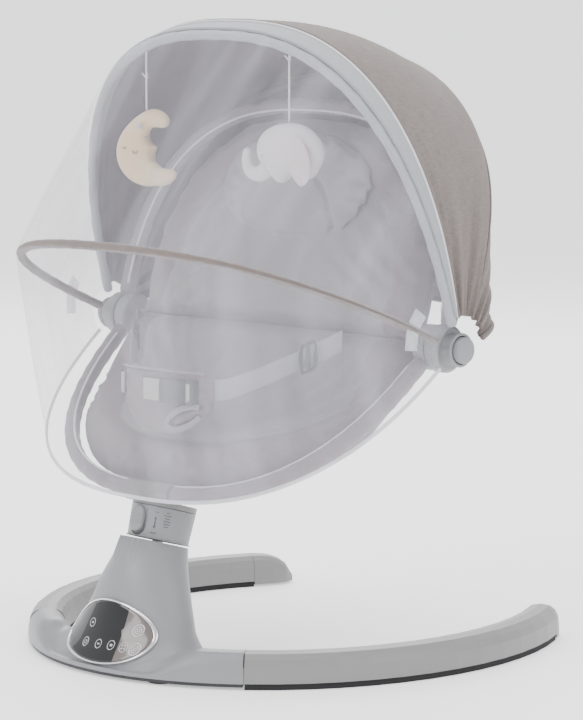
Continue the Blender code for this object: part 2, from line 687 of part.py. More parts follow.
def make_seat_pads():
    upper = (0.002, 0.022, -0.006, -0.022, -0.010, 0.004, 0.022, 0.026, 0.008)
    lower = (-0.010, -0.030, -0.048, -0.058, -0.056, -0.050, -0.040, -0.026, -0.010)
    top = pad_grid(0.2185, 0.006, 0.2325, FRONT_TUBE[2], upper, 0.004, 17, 9)
    under = pad_grid(0.2185, 0.006, 0.2325, FRONT_TUBE[2], lower, -0.005, 17, 9)
    add("seat_lower", *grid_solid(top, under), seat_linen(), HUB)
    near = (0.026, 0.016, 0.006, 0.000, -0.004, -0.004, 0.002)
    far = (-0.010, -0.018, -0.026, -0.030, -0.030, -0.024, -0.010)
    front = pad_grid(0.2185, 0.014, 0.2415, BACK_TUBE[2], near, 0.005, 17, 9)
    rear = pad_grid(0.2185, 0.014, 0.2415, BACK_TUBE[2], far, -0.005, 17, 9)
    add("seat_upper", *grid_solid(front, rear), seat_liner(), HUB)
    share = np.linspace(-1.0, 1.0, 11)
    u, v = np.meshgrid(share, np.linspace(0.0, 1.0, 6), indexing="ij")
    rise = 0.088 + 0.144 * v * (1.0 - 0.30 * u ** 2)
    base = HUB + (0.118 * u)[..., None] * AXIS_X + rise[..., None] * bow_direction(BACK_TUBE[2])
    swell = 0.014 * np.sqrt(np.clip(1.0 - u ** 4, 0.0, 1.0) * np.clip(1.0 - (2 * v - 1) ** 4, 0.0, 1.0))
    near = base + 0.0062 * pad_normal(BACK_TUBE[2])
    crown = near + (0.003 + swell)[..., None] * pad_normal(BACK_TUBE[2])
    add("head_pillow", *grid_solid(crown, near), seat_liner(), HUB)


CROTCH_Y = -0.1500


def make_harness():
    """The waist pad with its crotch part, the buckle on it, and the two waist straps."""
    share = np.linspace(-1.0, 1.0, 13)
    turn_in = 4.2
    waist = []
    for x in 0.068 * share:
        y = CROTCH_Y + turn_in * x * x
        waist.append([(x, y - 0.007, 0.268), (x, y - 0.007, 0.316),
                      (x, y + 0.006, 0.316), (x, y + 0.006, 0.268)])
    pad = add("crotch_pad", *ring_stack(waist), seat_linen())
    rings = []
    for drop, half in ((-0.006, 0.032), (0.012, 0.028), (0.028, 0.026)):
        y = CROTCH_Y + 0.10 * drop
        rings.append([(-half, y - 0.006, 0.272 - drop), (half, y - 0.006, 0.272 - drop),
                      (half, y + 0.005, 0.272 - drop), (-half, y + 0.005, 0.272 - drop)])
    join(pad, [ring_stack(rings)])
    bevel(pad, 0.0025, 1)
    body = block((0.034, CROTCH_Y - 0.0165 + turn_in * 0.034 ** 2, 0.292), (0.040, 0.0075, 0.027))
    bevel(add("buckle", *body, buckle_plastic()), 0.0015, 1)
    for side, word in ((-1.0, "left"), (1.0, "right")):
        route = np.array([(0.0710, -0.1260, 0.294), (0.092, -0.104, 0.304), (0.116, -0.080, 0.318),
                          (0.136, -0.058, 0.331), (0.152, -0.040, 0.342)])
        route[:, 0] *= side
        thick = np.array([0.0012 * side, -0.0012, 0.0])
        tall = np.array([0.0, 0.0, 0.0115])
        rings = [[p - tall, p + tall, p + tall + thick, p - tall + thick] for p in route]
        add("waist_strap_" + word, *ring_stack(rings), webbing())


def hood_grid(stations, columns, shrink=0.0):
    """A skin through bows: each station gives a half width, a reach and an angle."""
    rows = []
    for half_width, reach, angle in stations:
        start = bow_start(reach, HUB_REACH)
        turn = np.linspace(start, math.pi - start, columns)
        rows.append(bow_at((half_width - shrink, reach - shrink, angle), turn))
    return np.asarray(rows)


def make_canopy_fabric():
    stations = [(0.2700, 0.3435, 105.4), (0.2700, 0.3420, 96.0), (0.2700, 0.3350, 86.0),
                (0.2700, 0.3250, 76.0), (0.2700, 0.3130, 66.3)]
    back = 0.1275
    for angle in (56.0, 46.0, 36.0, 26.0, 16.0):
        stations.append((0.2700, back / math.cos(math.radians(angle)), angle))
    outer, inner = hood_grid(stations, 23), hood_grid(stations, 23, 0.0025)
    add("canopy_fabric", *grid_solid(outer, inner), canopy_melange(), HUB)


def taut_stations(first, last, count):
    """Stations of a net pulled straight between two bows: the reach follows the chord between them."""
    span = math.radians(last[2] - first[2])
    stations = []
    for share in np.linspace(0.0, 1.0, count):
        fall = first[1] * math.sin(span * share) + last[1] * math.sin(span * (1.0 - share))
        half_width = first[0] + (last[0] - first[0]) * share
        angle = first[2] + (last[2] - first[2]) * share
        stations.append((half_width, first[1] * last[1] * math.sin(span) / fall, angle))
    return stations


def make_net():
    upper = taut_stations((0.2685, 0.3420, 107.2), (0.2665, 0.2845, 156.8), 7)
    lower = taut_stations((0.2665, 0.2845, 157.8), (0.2665, 0.2695, 217.3), 7)
    add("net_upper", *grid_solid(hood_grid(upper, 19), hood_grid(upper, 19, 0.0012)), net_mesh(), HUB)
    add("net_lower", *grid_solid(hood_grid(lower, 19), hood_grid(lower, 19, 0.0012)), net_mesh(), HUB)


def make_cord(name, x, top, bottom):
    """A hanging cord: a straight run of soft cord between two heights."""
    curve = bpy.data.curves.new(name, "CURVE")
    curve.dimensions = "3D"
    curve.bevel_depth = 0.0011
    curve.bevel_resolution = 2
    curve.use_fill_caps = True
    line = curve.splines.new("POLY")
    heights = np.linspace(top, bottom, 9)
    line.points.add(len(heights) - 1)
    for point, height in zip(line.points, heights):
        point.co = (0.0, 0.0, height - TOY_PIVOT_Z, 1.0)
    curve.materials.append(webbing())
    made = bpy.data.objects.new(name, curve)
    made.location = (x, TOY_Y, TOY_PIVOT_Z)
    bpy.context.scene.collection.objects.link(made)
    return made


def make_toys():
    cord_top = TOY_PIVOT_Z - BOW_ROD - 3.0 * GAP
    make_cord("moon_cord", -TOY_X, cord_top, 0.5790)
    make_cord("elephant_cord", TOY_X, cord_top, 0.5724)
    centre = np.array([MOON_CENTRE[0], TOY_Y, MOON_CENTRE[1]])
    turn = np.linspace(0.0, 2.0 * math.pi, 16, endpoint=False)[:, None]
    rings = []
    for angle in np.linspace(52.0, 318.0, 19):
        spoke = np.array([math.cos(math.radians(angle)), 0.0, math.sin(math.radians(angle))])
        belly = math.exp(-((angle - 195.0) / (42.0 if angle < 195.0 else 52.0)) ** 2)
        reach = 0.0303 + 0.0090 * max(0.0, (angle - 270.0) / 48.0)
        end = math.sqrt(max(0.0, 1.0 - (abs(angle - 185.0) / 134.0) ** 10))
        wide = (0.0095 + 0.0190 * belly) * end
        deep = (0.0085 + 0.0065 * belly) * end
        rings.append(centre + (reach + wide * np.cos(turn)) * spoke + deep * np.sin(turn) * AXIS_Y)
    add("moon_toy", *ring_stack(rings), plush_yellow(), (-TOY_X, TOY_Y, TOY_PIVOT_Z))
    centre = np.array([0.1005, TOY_Y, 0.5380])
    rings = []
    for share in np.linspace(-0.97, 0.97, 11):
        girth = math.sqrt(1.0 - share ** 2)
        round_it = 0.020 * np.cos(turn) * AXIS_Y + 0.0340 * np.sin(turn) * AXIS_Z
        rings.append(centre + 0.056 * share * AXIS_X + girth * round_it)
    add("elephant_toy", *ring_stack(rings), plush_white(), (TOY_X, TOY_Y, TOY_PIVOT_Z))


def main():
    clear_scene()
    make_base_housing()
    make_base_cover()
    for side in (-1.0, 1.0):
        make_leg(side)
        make_leg_cap(side)
        make_leg_tread(side)
        make_front_foot(side)
    make_panel_bezel()
    make_panel_lens()
    make_electronics()
    make_pivot()
    make_neck_shell()
    make_mode_knob()
    make_spindle()
    make_seat_bracket()
    frame_tube("seat_front_tube", FRONT_TUBE, 0.0270, steel())
    frame_tube("backrest_tube", BACK_TUBE, 0.0270, steel())
    make_hubs(-1.0, "left")
    make_hubs(1.0, "right")
    make_rear_bow()
    bow_with_rings("canopy_front_bow", CANOPY_BOW, 0.2595, 0.2645, steel())
    bow_with_rings("net_bow", NET_BOW, 0.2540, 0.2585, canopy_melange())
    make_seat_pads()
    make_harness()
    make_canopy_fabric()
    make_net()
    make_toys()


main()
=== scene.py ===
"""Electric baby swing: finished plastic, fabric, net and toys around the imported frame.

Metres, +Z up, the control panel towards -Y. Every operator makes one group of pieces.
"""

import math

import bpy
import mathutils
import numpy as np
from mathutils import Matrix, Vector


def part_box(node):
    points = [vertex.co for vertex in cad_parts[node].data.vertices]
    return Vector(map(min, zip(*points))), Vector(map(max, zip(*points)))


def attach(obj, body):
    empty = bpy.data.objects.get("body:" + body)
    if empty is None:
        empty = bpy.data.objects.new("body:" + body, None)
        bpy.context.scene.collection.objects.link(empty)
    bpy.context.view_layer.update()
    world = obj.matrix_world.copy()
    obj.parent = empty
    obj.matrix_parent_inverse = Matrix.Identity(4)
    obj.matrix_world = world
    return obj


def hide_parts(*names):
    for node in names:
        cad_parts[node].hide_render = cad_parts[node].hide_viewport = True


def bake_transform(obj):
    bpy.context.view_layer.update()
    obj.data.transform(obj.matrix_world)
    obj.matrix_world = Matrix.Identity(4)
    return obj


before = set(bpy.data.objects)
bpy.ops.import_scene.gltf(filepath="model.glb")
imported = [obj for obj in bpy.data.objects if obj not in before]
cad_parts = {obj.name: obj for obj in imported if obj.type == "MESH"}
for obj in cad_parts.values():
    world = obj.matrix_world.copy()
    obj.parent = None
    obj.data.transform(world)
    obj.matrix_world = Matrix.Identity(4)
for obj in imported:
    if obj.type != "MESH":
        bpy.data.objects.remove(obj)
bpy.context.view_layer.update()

bl_info = {
    "name": "Baby swing builder",
    "version": (1, 0, 0),
    "blender": (4, 5, 0),
    "location": "3D Viewport > Sidebar > Swing",
    "description": "Builds the shell, upholstery, canopy, net and toys of a baby swing on its frame",
    "category": "Object",
}

# ---------------------------------------------------------------- the frame's own sizes
HUB = np.array([0.0, 0.0245, 0.339])              # recline and canopy axis, along X
FRONT_TUBE = (0.2283, 0.245, 219.75)              # half width, reach, angle from +Y in degrees
BACK_TUBE = (0.2453, 0.250, 76.6)
REAR_BOW = (0.2453, 0.299, 66.3)
CANOPY_BOW = (0.2620, 0.336, 106.35)
NET_BOW = (0.25625, 0.279, 157.3)
BOW_POWER = 2.56
PIVOT = np.array([0.0, -0.1736, 0.0675])          # on the sway axis
LEAN = math.radians(16.5)
NECK_UP = np.array([0.0, math.sin(LEAN), math.cos(LEAN)])
NECK_BACK = np.array([0.0, math.cos(LEAN), -math.sin(LEAN)])
NECK_RADIUS = 0.0335
SLIT_REACH = 0.0623
KNOB_REACH = 0.0825
COLUMN_HEIGHTS = np.array([0.0064, 0.020, 0.038, 0.054, 0.070, 0.090, 0.110, 0.1272])
COLUMN_HALF_WIDTH = np.array([0.130, 0.102, 0.080, 0.070, 0.061, 0.0525, 0.042, 0.0335])
COLUMN_FRONT = np.array([-0.250, -0.244, -0.234, -0.227, -0.2217, -0.216, -0.204, -0.189])
COLUMN_BACK = np.array([-0.142, -0.142, -0.142, -0.139, -0.1357, -0.133, -0.128, -0.123])
SEAM_ANGLE = math.radians(36.4)
PANEL = (0.0440, 0.0585, 0.0300)                  # middle height, half width, half height
TOY_X, TOY_Y = 0.108, -0.0661
PAD_HALF_WIDTH = 0.2165                           # seat and back pads, inside their tubes
RIM_SEAM_WIDTH, RIM_SEAM_REACH = 0.78, 0.80       # the rim seam's share of a pad's half width and reach
PILLOW_MIDDLE = 0.118                             # the head pillow's middle, out from the hubs along the back
BUCKLE_HEIGHT = 0.2918                            # the buckle's middle above the floor
CROTCH_Y = -0.1500
X, Y, Z = np.eye(3)


# ---------------------------------------------------------------- sizes and colours a user may change
def colour(name, description, value):
    return bpy.props.FloatVectorProperty(name=name, description=description, subtype="COLOR",
                                         size=3, min=0.0, max=1.0, default=value)


class SwingPlastics(bpy.types.PropertyGroup):
    shell: colour("Shell", "Cool grey of the housing, neck and hubs", (0.250, 0.252, 0.262))
    leg: colour("Legs", "Slightly warmer grey of the curved legs", (0.230, 0.228, 0.224))
    buckle: colour("Buckle", "Grey of the harness buckle", (0.115, 0.120, 0.128))
    grain: bpy.props.FloatProperty(name="Grain", description="Pitch of the moulded surface's fine grain",
                                   default=0.0006, min=0.0002, max=0.003, subtype="DISTANCE", unit="LENGTH")


class SwingFabrics(bpy.types.PropertyGroup):
    linen: colour("Linen", "Mauve grey of the seat's outer linen", (0.285, 0.250, 0.268))
    liner: colour("Liner", "Pale grey of the seat's soft liner", (0.350, 0.340, 0.362))
    canopy: colour("Canopy", "Brown grey melange of the canopy", (0.225, 0.188, 0.172))
    band: colour("Band", "Silver grey of the canopy's front band", (0.430, 0.440, 0.465))
    net: colour("Net", "Pale lavender of the net's threads", (0.740, 0.730, 0.800))
    net_cover: bpy.props.FloatProperty(name="Net cover", description="How much of the view the net's threads hide",
                                       default=0.115, min=0.05, max=0.95, subtype="FACTOR")
    thread: bpy.props.FloatProperty(name="Thread pitch", description="Distance between two threads of the linen",
                                    default=0.0011, min=0.0003, max=0.004, subtype="DISTANCE", unit="LENGTH")
    puff: bpy.props.FloatProperty(name="Puff", description="Pressure that fills the padded pieces",
                                  default=4.0, min=0.0, max=20.0)


class SwingStage(bpy.types.PropertyGroup):
    floor: colour("Floor", "Pale floor and backdrop", (0.93, 0.93, 0.935))
    light: bpy.props.FloatProperty(name="Light", description="Strength of the soft studio lights",
                                   default=1.0, min=0.0, max=10.0, subtype="FACTOR")
    lens: bpy.props.FloatProperty(name="Lens", description="Focal length of the camera",
                                  default=151.65, min=20.0, max=400.0, subtype="DISTANCE_CAMERA",
                                  unit="CAMERA")


def plastics():
    return bpy.context.scene.swing_plastics


def fabrics():
    return bpy.context.scene.swing_fabrics


# ---------------------------------------------------------------- shader maths
class Wire:
    """An output socket that adds, multiplies and compares like a number."""

    def __init__(self, paint, socket):
        self.paint = paint
        self.socket = socket

    def maths(self, operation, *values):
        return self.paint.node("ShaderNodeMath", {"operation": operation}, dict(enumerate(values)))

    def __add__(self, other):
        return self.maths("ADD", self, other)

    def __mul__(self, other):
        return self.maths("MULTIPLY", self, other)

    def __sub__(self, other):
        return self.maths("SUBTRACT", self, other)

    def __rsub__(self, other):
        return self.maths("SUBTRACT", other, self)

    def __truediv__(self, other):
        return self.maths("DIVIDE", self, other)

    def __pow__(self, other):
        return self.maths("POWER", self, other)

    def __gt__(self, other):
        return self.maths("GREATER_THAN", self, other)

    def __abs__(self):
        return self.maths("ABSOLUTE", self)

    __radd__ = __add__
    __rmul__ = __mul__

    def sine(self):
        return self.maths("SINE", self)

    def most(self, other):
        return self.maths("MAXIMUM", self, other)

    def soft(self, low, high):
        """0 below low, 1 above high, smooth between."""
        settings = {"interpolation_type": "SMOOTHSTEP"}
        return self.paint.node("ShaderNodeMapRange", settings, {"Value": self, "From Min": low, "From Max": high})

    def to(self, low, high):
        """Carries 0..1 to low..high."""
        return self * (high - low) + low


class Paint:
    """A material's nodes, made by one method."""

    def __init__(self, name):
        self.material = bpy.data.materials.new(name)
        self.material.use_nodes = True
        self.tree = self.material.node_tree
        self.shader = self.tree.nodes["Principled BSDF"]
        self.output = self.tree.nodes["Material Output"]

    def node(self, kind, settings=None, inputs=None, output=0):
        made = self.tree.nodes.new(kind)
        for key, value in (settings or {}).items():
            if key == "stops":
                ramp = made.color_ramp
                while len(ramp.elements) < len(value):
                    ramp.elements.new(1.0)
                for element, (place, tint) in zip(ramp.elements, value):
                    element.position = place
                    element.color = (*tint, 1.0)
            else:
                setattr(made, key, value)
        for key, value in (inputs or {}).items():
            self.feed(made.inputs[key], value)
        return Wire(self, made.outputs[output])

    def feed(self, socket, value):
        if isinstance(value, Wire):
            self.tree.links.new(value.socket, socket)
        elif isinstance(value, (tuple, list)) and len(socket.default_value) == 4:
            socket.default_value = (*value[:3], 1.0)
        else:
            socket.default_value = value

    def fixed(self, **values):
        """Sets numbers and colours on the shader's own sockets."""
        for key, value in values.items():
            self.feed(self.shader.inputs[key.replace("_", " ")], value)
        return self

    def varies(self, **values):
        """Links what changes over the surface."""
        for key, value in values.items():
            self.feed(self.shader.inputs[key.replace("_", " ")], value)
        return self

    def place(self):
        return self.node("ShaderNodeTexCoord", output=3)

    def weave(self):
        return self.node("ShaderNodeUVMap", {"uv_map": "Weave"})

    def parts(self, vector):
        split = self.node("ShaderNodeSeparateXYZ", None, {0: vector})
        sockets = split.socket.node.outputs
        return [Wire(self, socket) for socket in sockets]

    def stretched(self, vector, scale):
        return self.node("ShaderNodeMapping", None, {"Vector": vector, "Scale": scale})

    def noise(self, vector, scale, detail=3.0, rough=0.5):
        return self.node("ShaderNodeTexNoise", None,
                         {"Vector": vector, "Scale": scale, "Detail": detail, "Roughness": rough})

    def mix(self, factor, first, second):
        made = self.tree.nodes.new("ShaderNodeMix")
        made.data_type = "RGBA"
        for index, value in ((0, factor), (6, first), (7, second)):
            self.feed(made.inputs[index], value)
        return Wire(self, made.outputs[2])

    def bump(self, height, depth, strength=1.0):
        made = self.node("ShaderNodeBump", None, {"Height": height, "Distance": depth, "Strength": strength})
        return self.varies(Normal=made)


def shade(tint, factor):
    return tuple(min(1.0, part * factor) for part in tint)


MADE = {}


def once(maker):
    """A material is made the first time a piece asks for it."""
    def get():
        if maker.__name__ not in MADE:
            MADE[maker.__name__] = maker().material
        return MADE[maker.__name__]
    return get


# ---------------------------------------------------------------- materials
def moulded(name, tint, rough, specular=0.5):
    """Moulded plastic: fine spark-eroded grain, cloudy gloss and slightly paler rubbed patches."""
    paint = Paint(name)
    place = paint.place()
    cloud = paint.noise(place, 9.0, 4.0)
    grain = paint.noise(place, 1.0 / plastics().grain, 2.0, 0.6)
    rubbed = paint.noise(place, 38.0, 6.0, 0.65).soft(0.56, 0.78)
    base = paint.mix(cloud, shade(tint, 0.965), shade(tint, 1.035))
    paint.varies(Base_Color=paint.mix(rubbed * 0.35, base, shade(tint, 1.09)),
                 Roughness=cloud * 0.10 + grain * 0.08 + (rough - 0.09))
    paint.bump(grain, 0.00006, 0.55)
    return paint.fixed(Specular_IOR_Level=specular)


@once
def shell_plastic():
    return moulded("satin_shell_plastic", tuple(plastics().shell), 0.40)


@once
def leg_plastic():
    return moulded("satin_leg_plastic", tuple(plastics().leg), 0.43)


@once
def dark_plastic():
    return moulded("matt_dark_plastic", (0.028, 0.028, 0.031), 0.55)


@once
def buckle_plastic():
    return moulded("buckle_plastic", tuple(plastics().buckle), 0.42)


@once
def rubber():
    paint = moulded("tread_rubber", (0.020, 0.020, 0.021), 0.80, 0.3)
    return paint


@once
def steel():
    """Tube steel with fine lengthwise brushing."""
    paint = Paint("brushed_steel")
    place = paint.place()
    lines = paint.noise(paint.stretched(place, (40.0, 900.0, 900.0)), 1.0, 2.0)
    paint.varies(Base_Color=paint.mix(lines, (0.42, 0.42, 0.44), (0.62, 0.62, 0.64)), Roughness=lines.to(0.25, 0.42))
    return paint.fixed(Metallic=1.0)


@once
def chrome():
    """Bright plated rim with faint handling haze."""
    paint = Paint("bright_chrome")
    haze = paint.noise(paint.place(), 120.0, 5.0)
    paint.varies(Base_Color=paint.mix(haze, (0.86, 0.86, 0.88), (0.94, 0.94, 0.95)), Roughness=haze.to(0.05, 0.16))
    return paint.fixed(Metallic=1.0)


@once
def panel_gloss():
    """Glossy black panel whose right quarter is a warm grey window, with dust in the gloss."""
    paint = Paint("panel_gloss")
    place = paint.place()
    across = paint.parts(place)[0]
    window = across.soft(0.0262, 0.0268)
    dust = paint.noise(place, 260.0, 6.0, 0.7).soft(0.60, 0.80)
    warm = paint.mix(paint.noise(place, 22.0), (0.115, 0.098, 0.090), (0.175, 0.152, 0.142))
    paint.varies(Base_Color=paint.mix(window, paint.mix(dust, (0.0035, 0.0035, 0.0045), (0.012, 0.012, 0.014)), warm),
                 Roughness=dust * 0.10 + window * 0.12 + 0.035)
    return paint.fixed(Coat_Weight=0.6, Coat_Roughness=0.03)


@once
def panel_mark():
    """Pale screen print of the panel's rings and signs."""
    paint = Paint("panel_print")
    wear = paint.noise(paint.place(), 900.0, 3.0)
    paint.varies(Base_Color=paint.mix(wear, (0.44, 0.44, 0.46), (0.72, 0.72, 0.74)), Roughness=wear.to(0.35, 0.5))
    return paint


@once
def dark_mark():
    """Dark grey print on the neck."""
    paint = Paint("neck_print")
    wear = paint.noise(paint.place(), 900.0, 3.0)
    paint.varies(Base_Color=paint.mix(wear, (0.045, 0.045, 0.050), (0.085, 0.085, 0.09)),
                 Roughness=wear.to(0.5, 0.65))
    return paint


@once
def circuit_board():
    """Green solder mask with copper tracks under it."""
    paint = Paint("solder_mask")
    across, along, _ = paint.parts(paint.place())
    tracks = ((across * 900.0).sine() * (along * 700.0).sine()).soft(0.35, 0.5)
    paint.varies(Base_Color=paint.mix(tracks, (0.012, 0.110, 0.040), (0.030, 0.190, 0.070)),
                 Roughness=tracks.to(0.45, 0.3))
    return paint


@once
def wound_copper():
    """Lacquered wire, turn beside turn."""
    paint = Paint("wound_copper")
    turns = (paint.parts(paint.place())[2] * 7800.0).sine()
    paint.varies(Base_Color=paint.mix(turns * 0.5 + 0.5, (0.40, 0.15, 0.07), (0.75, 0.34, 0.18)),
                 Roughness=turns.to(0.3, 0.35))
    paint.bump(turns, 0.00015)
    return paint.fixed(Metallic=1.0)


def woven(name, tint, pitch, spread, fuzz=0.30, depth=0.00022, slub=0.6):
    """Plain weave on the piece's own cloth coordinates: warp and weft threads pass over each other
    in turn, every thread has its own tone, and long slubs run along both directions."""
    paint = Paint(name)
    cloth = paint.weave()
    across, along, _ = paint.parts(cloth)
    turn = 2.0 * math.pi / pitch
    warp, weft = (across * turn).sine(), (along * turn).sine()
    over = ((across * (turn / 2)).sine() * (along * (turn / 2)).sine() * 3.0).soft(-1.0, 1.0)
    height = over * abs(warp) + (1.0 - over) * abs(weft)
    long_slub = paint.noise(paint.stretched(cloth, (1.0 / pitch, 0.09 / pitch, 1.0)), 0.8, 2.0, 0.6)
    cross_slub = paint.noise(paint.stretched(cloth, (0.09 / pitch, 1.0 / pitch, 1.0)), 0.8, 2.0, 0.6)
    slubs = (long_slub * over + cross_slub * (1.0 - over)).soft(0.5 - slub * 0.28, 0.5 + slub * 0.28)
    cloud = paint.noise(paint.place(), 14.0, 4.0)
    tone = paint.mix(slubs, shade(tint, 1.0 - spread), shade(tint, 1.0 + spread))
    tone = paint.mix(cloud * 0.30, tone, shade(tint, 0.90))
    # Painted shade: the colour is darkened in the low places between the threads, where shade falls.
    paint.varies(Base_Color=paint.mix((1.0 - height) * 0.35, tone, shade(tint, 0.55)), Roughness=slubs.to(0.82, 0.95))
    paint.bump(height + slubs * 0.5, depth, 0.7)
    return paint.fixed(Sheen_Weight=fuzz, Sheen_Roughness=0.45, Specular_IOR_Level=0.25)


@once
def seat_linen():
    return woven("seat_linen", tuple(fabrics().linen), fabrics().thread, 0.16)


@once
def canopy_melange():
    return woven("canopy_melange", tuple(fabrics().canopy), fabrics().thread * 1.15, 0.34, 0.25, 0.0003, 0.9)


@once
def lining():
    return woven("canopy_lining", (0.215, 0.178, 0.208), fabrics().thread, 0.10)


@once
def band_fabric():
    return woven("silver_band", tuple(fabrics().band), fabrics().thread * 0.7, 0.07, 0.2, 0.00012)


@once
def seat_liner():
    return woven("seat_liner_jersey", tuple(fabrics().liner), fabrics().thread * 0.8, 0.06, 0.45, 0.00016, 0.4)


@once
def webbing():
    return woven("harness_webbing", (0.50, 0.50, 0.53), 0.0016, 0.10, 0.2, 0.0004)


@once
def pale_patch():
    return woven("pale_webbing", (0.60, 0.585, 0.575), 0.0014, 0.08, 0.2, 0.0004)


@once
def white_piping():
    return woven("white_piping", (0.80, 0.79, 0.82), 0.0009, 0.05, 0.2, 0.0001)


@once
def brown_piping():
    return woven("brown_piping", (0.215, 0.185, 0.175), 0.0009, 0.14, 0.2, 0.0001)


@once
def toy_cord():
    return woven("toy_cord", (0.80, 0.79, 0.81), 0.0008, 0.05, 0.2, 0.0001)


def netting(name, cover, tint):
    """Knitted net: two crossing sets of fine threads with holes between; the holes' share of the
    surface is see-through. Soft streaks make the net denser along its folds."""
    paint = Paint(name)
    cloth = paint.weave()
    across, along, _ = paint.parts(cloth)
    turn = math.pi / 0.0013
    first = abs(((across + along) * turn).sine())
    second = abs(((across - along) * turn).sine())
    threads = first.most(second).soft(0.72, 0.98)
    streaks = paint.noise(paint.stretched(cloth, (16.0, 1.6, 1.0)), 1.0, 3.0, 0.55).soft(0.38, 0.72)
    hold = threads.to(-0.07, 0.07) + streaks * 0.09 + (cover - 0.04)
    paint.varies(Base_Color=paint.mix(streaks, shade(tint, 0.95), shade(tint, 1.06)), Alpha=hold,
                 Roughness=threads.to(0.75, 0.6))
    paint.bump(threads, 0.0001, 0.4)
    return paint.fixed(Sheen_Weight=0.25, Specular_IOR_Level=0.3)


@once
def net_mesh():
    return netting("net_mesh", fabrics().net_cover, tuple(fabrics().net))


@once
def net_hem():
    return netting("net_hem", 0.72, (0.80, 0.80, 0.84))


@once
def clear_strip():
    """Shiny clear tape along the net's side."""
    paint = Paint("clear_tape")
    ripple = paint.noise(paint.weave(), 90.0, 3.0)
    paint.varies(Base_Color=paint.mix(ripple, (0.82, 0.88, 0.92), (0.97, 0.98, 1.0)), Roughness=ripple.to(0.05, 0.22),
                 Alpha=ripple.to(0.15, 0.60))
    return paint


def plush(name, tint, second):
    """Short pile: soft blotches of two tones and a fine felted surface."""
    paint = Paint(name)
    place = paint.place()
    pile = paint.noise(place, 1500.0, 3.0, 0.7)
    blotch = paint.noise(place, 34.0, 3.0).soft(0.35, 0.65)
    paint.varies(Base_Color=paint.mix(pile * 0.5, paint.mix(blotch, tint, second), shade(tint, 0.80)),
                 Roughness=pile.to(0.85, 1.0))
    paint.bump(pile, 0.0005, 0.8)
    return paint.fixed(Sheen_Weight=0.5, Sheen_Roughness=0.4, Specular_IOR_Level=0.2)


@once
def moon_plush():
    return plush("moon_plush", (0.83, 0.60, 0.36), (0.82, 0.66, 0.47))


@once
def elephant_plush():
    return plush("elephant_plush", (0.70, 0.67, 0.69), (0.76, 0.68, 0.70))


@once
def ear_plush():
    return plush("ear_plush", (0.74, 0.62, 0.65), (0.78, 0.70, 0.72))


@once
def stitched_mark():
    return plush("face_stitch", (0.25, 0.22, 0.24), (0.30, 0.27, 0.29))


@once
def blue_felt():
    return plush("grey_blue_felt", (0.42, 0.50, 0.54), (0.50, 0.56, 0.60))


# ---------------------------------------------------------------- meshes from whole arrays
def unit(vector):
    return vector / np.linalg.norm(vector, axis=-1, keepdims=True)


def grid_faces(rows, columns, loop_rows=False, loop_columns=False, start=0):
    """Quads of a grid of rows x columns points, closed round either way where asked."""
    i = np.arange(rows if loop_rows else rows - 1)[:, None]
    j = np.arange(columns if loop_columns else columns - 1)[None, :]
    a, b = i * columns + j, i * columns + (j + 1) % columns
    c, d = ((i + 1) % rows) * columns + (j + 1) % columns, ((i + 1) % rows) * columns + j
    return np.stack([a, b, c, d], -1).reshape(-1, 4) + start


def build(name, points, faces, finish, cloth=None, smooth=True):
    """A mesh object from points and faces; cloth gives each point's place on the flat cloth."""
    mesh = bpy.data.meshes.new(name)
    mesh.from_pydata(np.asarray(points, float).reshape(-1, 3).tolist(), [], [list(map(int, f)) for f in faces])
    mesh.materials.append(finish)
    mesh.polygons.foreach_set("use_smooth", np.full(len(mesh.polygons), smooth))
    made = bpy.data.objects.new(name, mesh)
    bpy.context.scene.collection.objects.link(made)
    if cloth is not None:
        lay_cloth(made, np.asarray(cloth, float).reshape(-1, 2))
    mesh.update()
    return made


def lay_cloth(piece, flat):
    """Writes the places on the flat cloth, in metres, as the piece's Weave map."""
    mesh = piece.data
    corner = np.empty(len(mesh.loops), int)
    mesh.loops.foreach_get("vertex_index", corner)
    layer = mesh.uv_layers.get("Weave") or mesh.uv_layers.new(name="Weave")
    layer.data.foreach_set("uv", flat[corner].ravel())


def places(piece):
    co = np.empty(len(piece.data.vertices) * 3)
    piece.data.vertices.foreach_get("co", co)
    return co.reshape(-1, 3)


def put_places(piece, co):
    piece.data.vertices.foreach_set("co", np.asarray(co, float).ravel())
    piece.data.update()


def outward(piece):
    """Makes every face point outwards on a closed mesh."""
    co = places(piece)
    mesh = piece.data
    mesh.calc_loop_triangles()
    tri = np.empty(len(mesh.loop_triangles) * 3, int)
    mesh.loop_triangles.foreach_get("vertices", tri)
    a, b, c = co[tri.reshape(-1, 3)].transpose(1, 0, 2)
    if np.einsum("ij,ij->", a, np.cross(b, c)) < 0.0:
        mesh.flip_normals()
    return piece


def arc_lengths(path, axis=0):
    steps = np.linalg.norm(np.diff(path, axis=axis), axis=-1)
    start = np.zeros_like(np.take(steps, [0], axis))
    return np.cumsum(np.concatenate([start, steps], axis), axis)


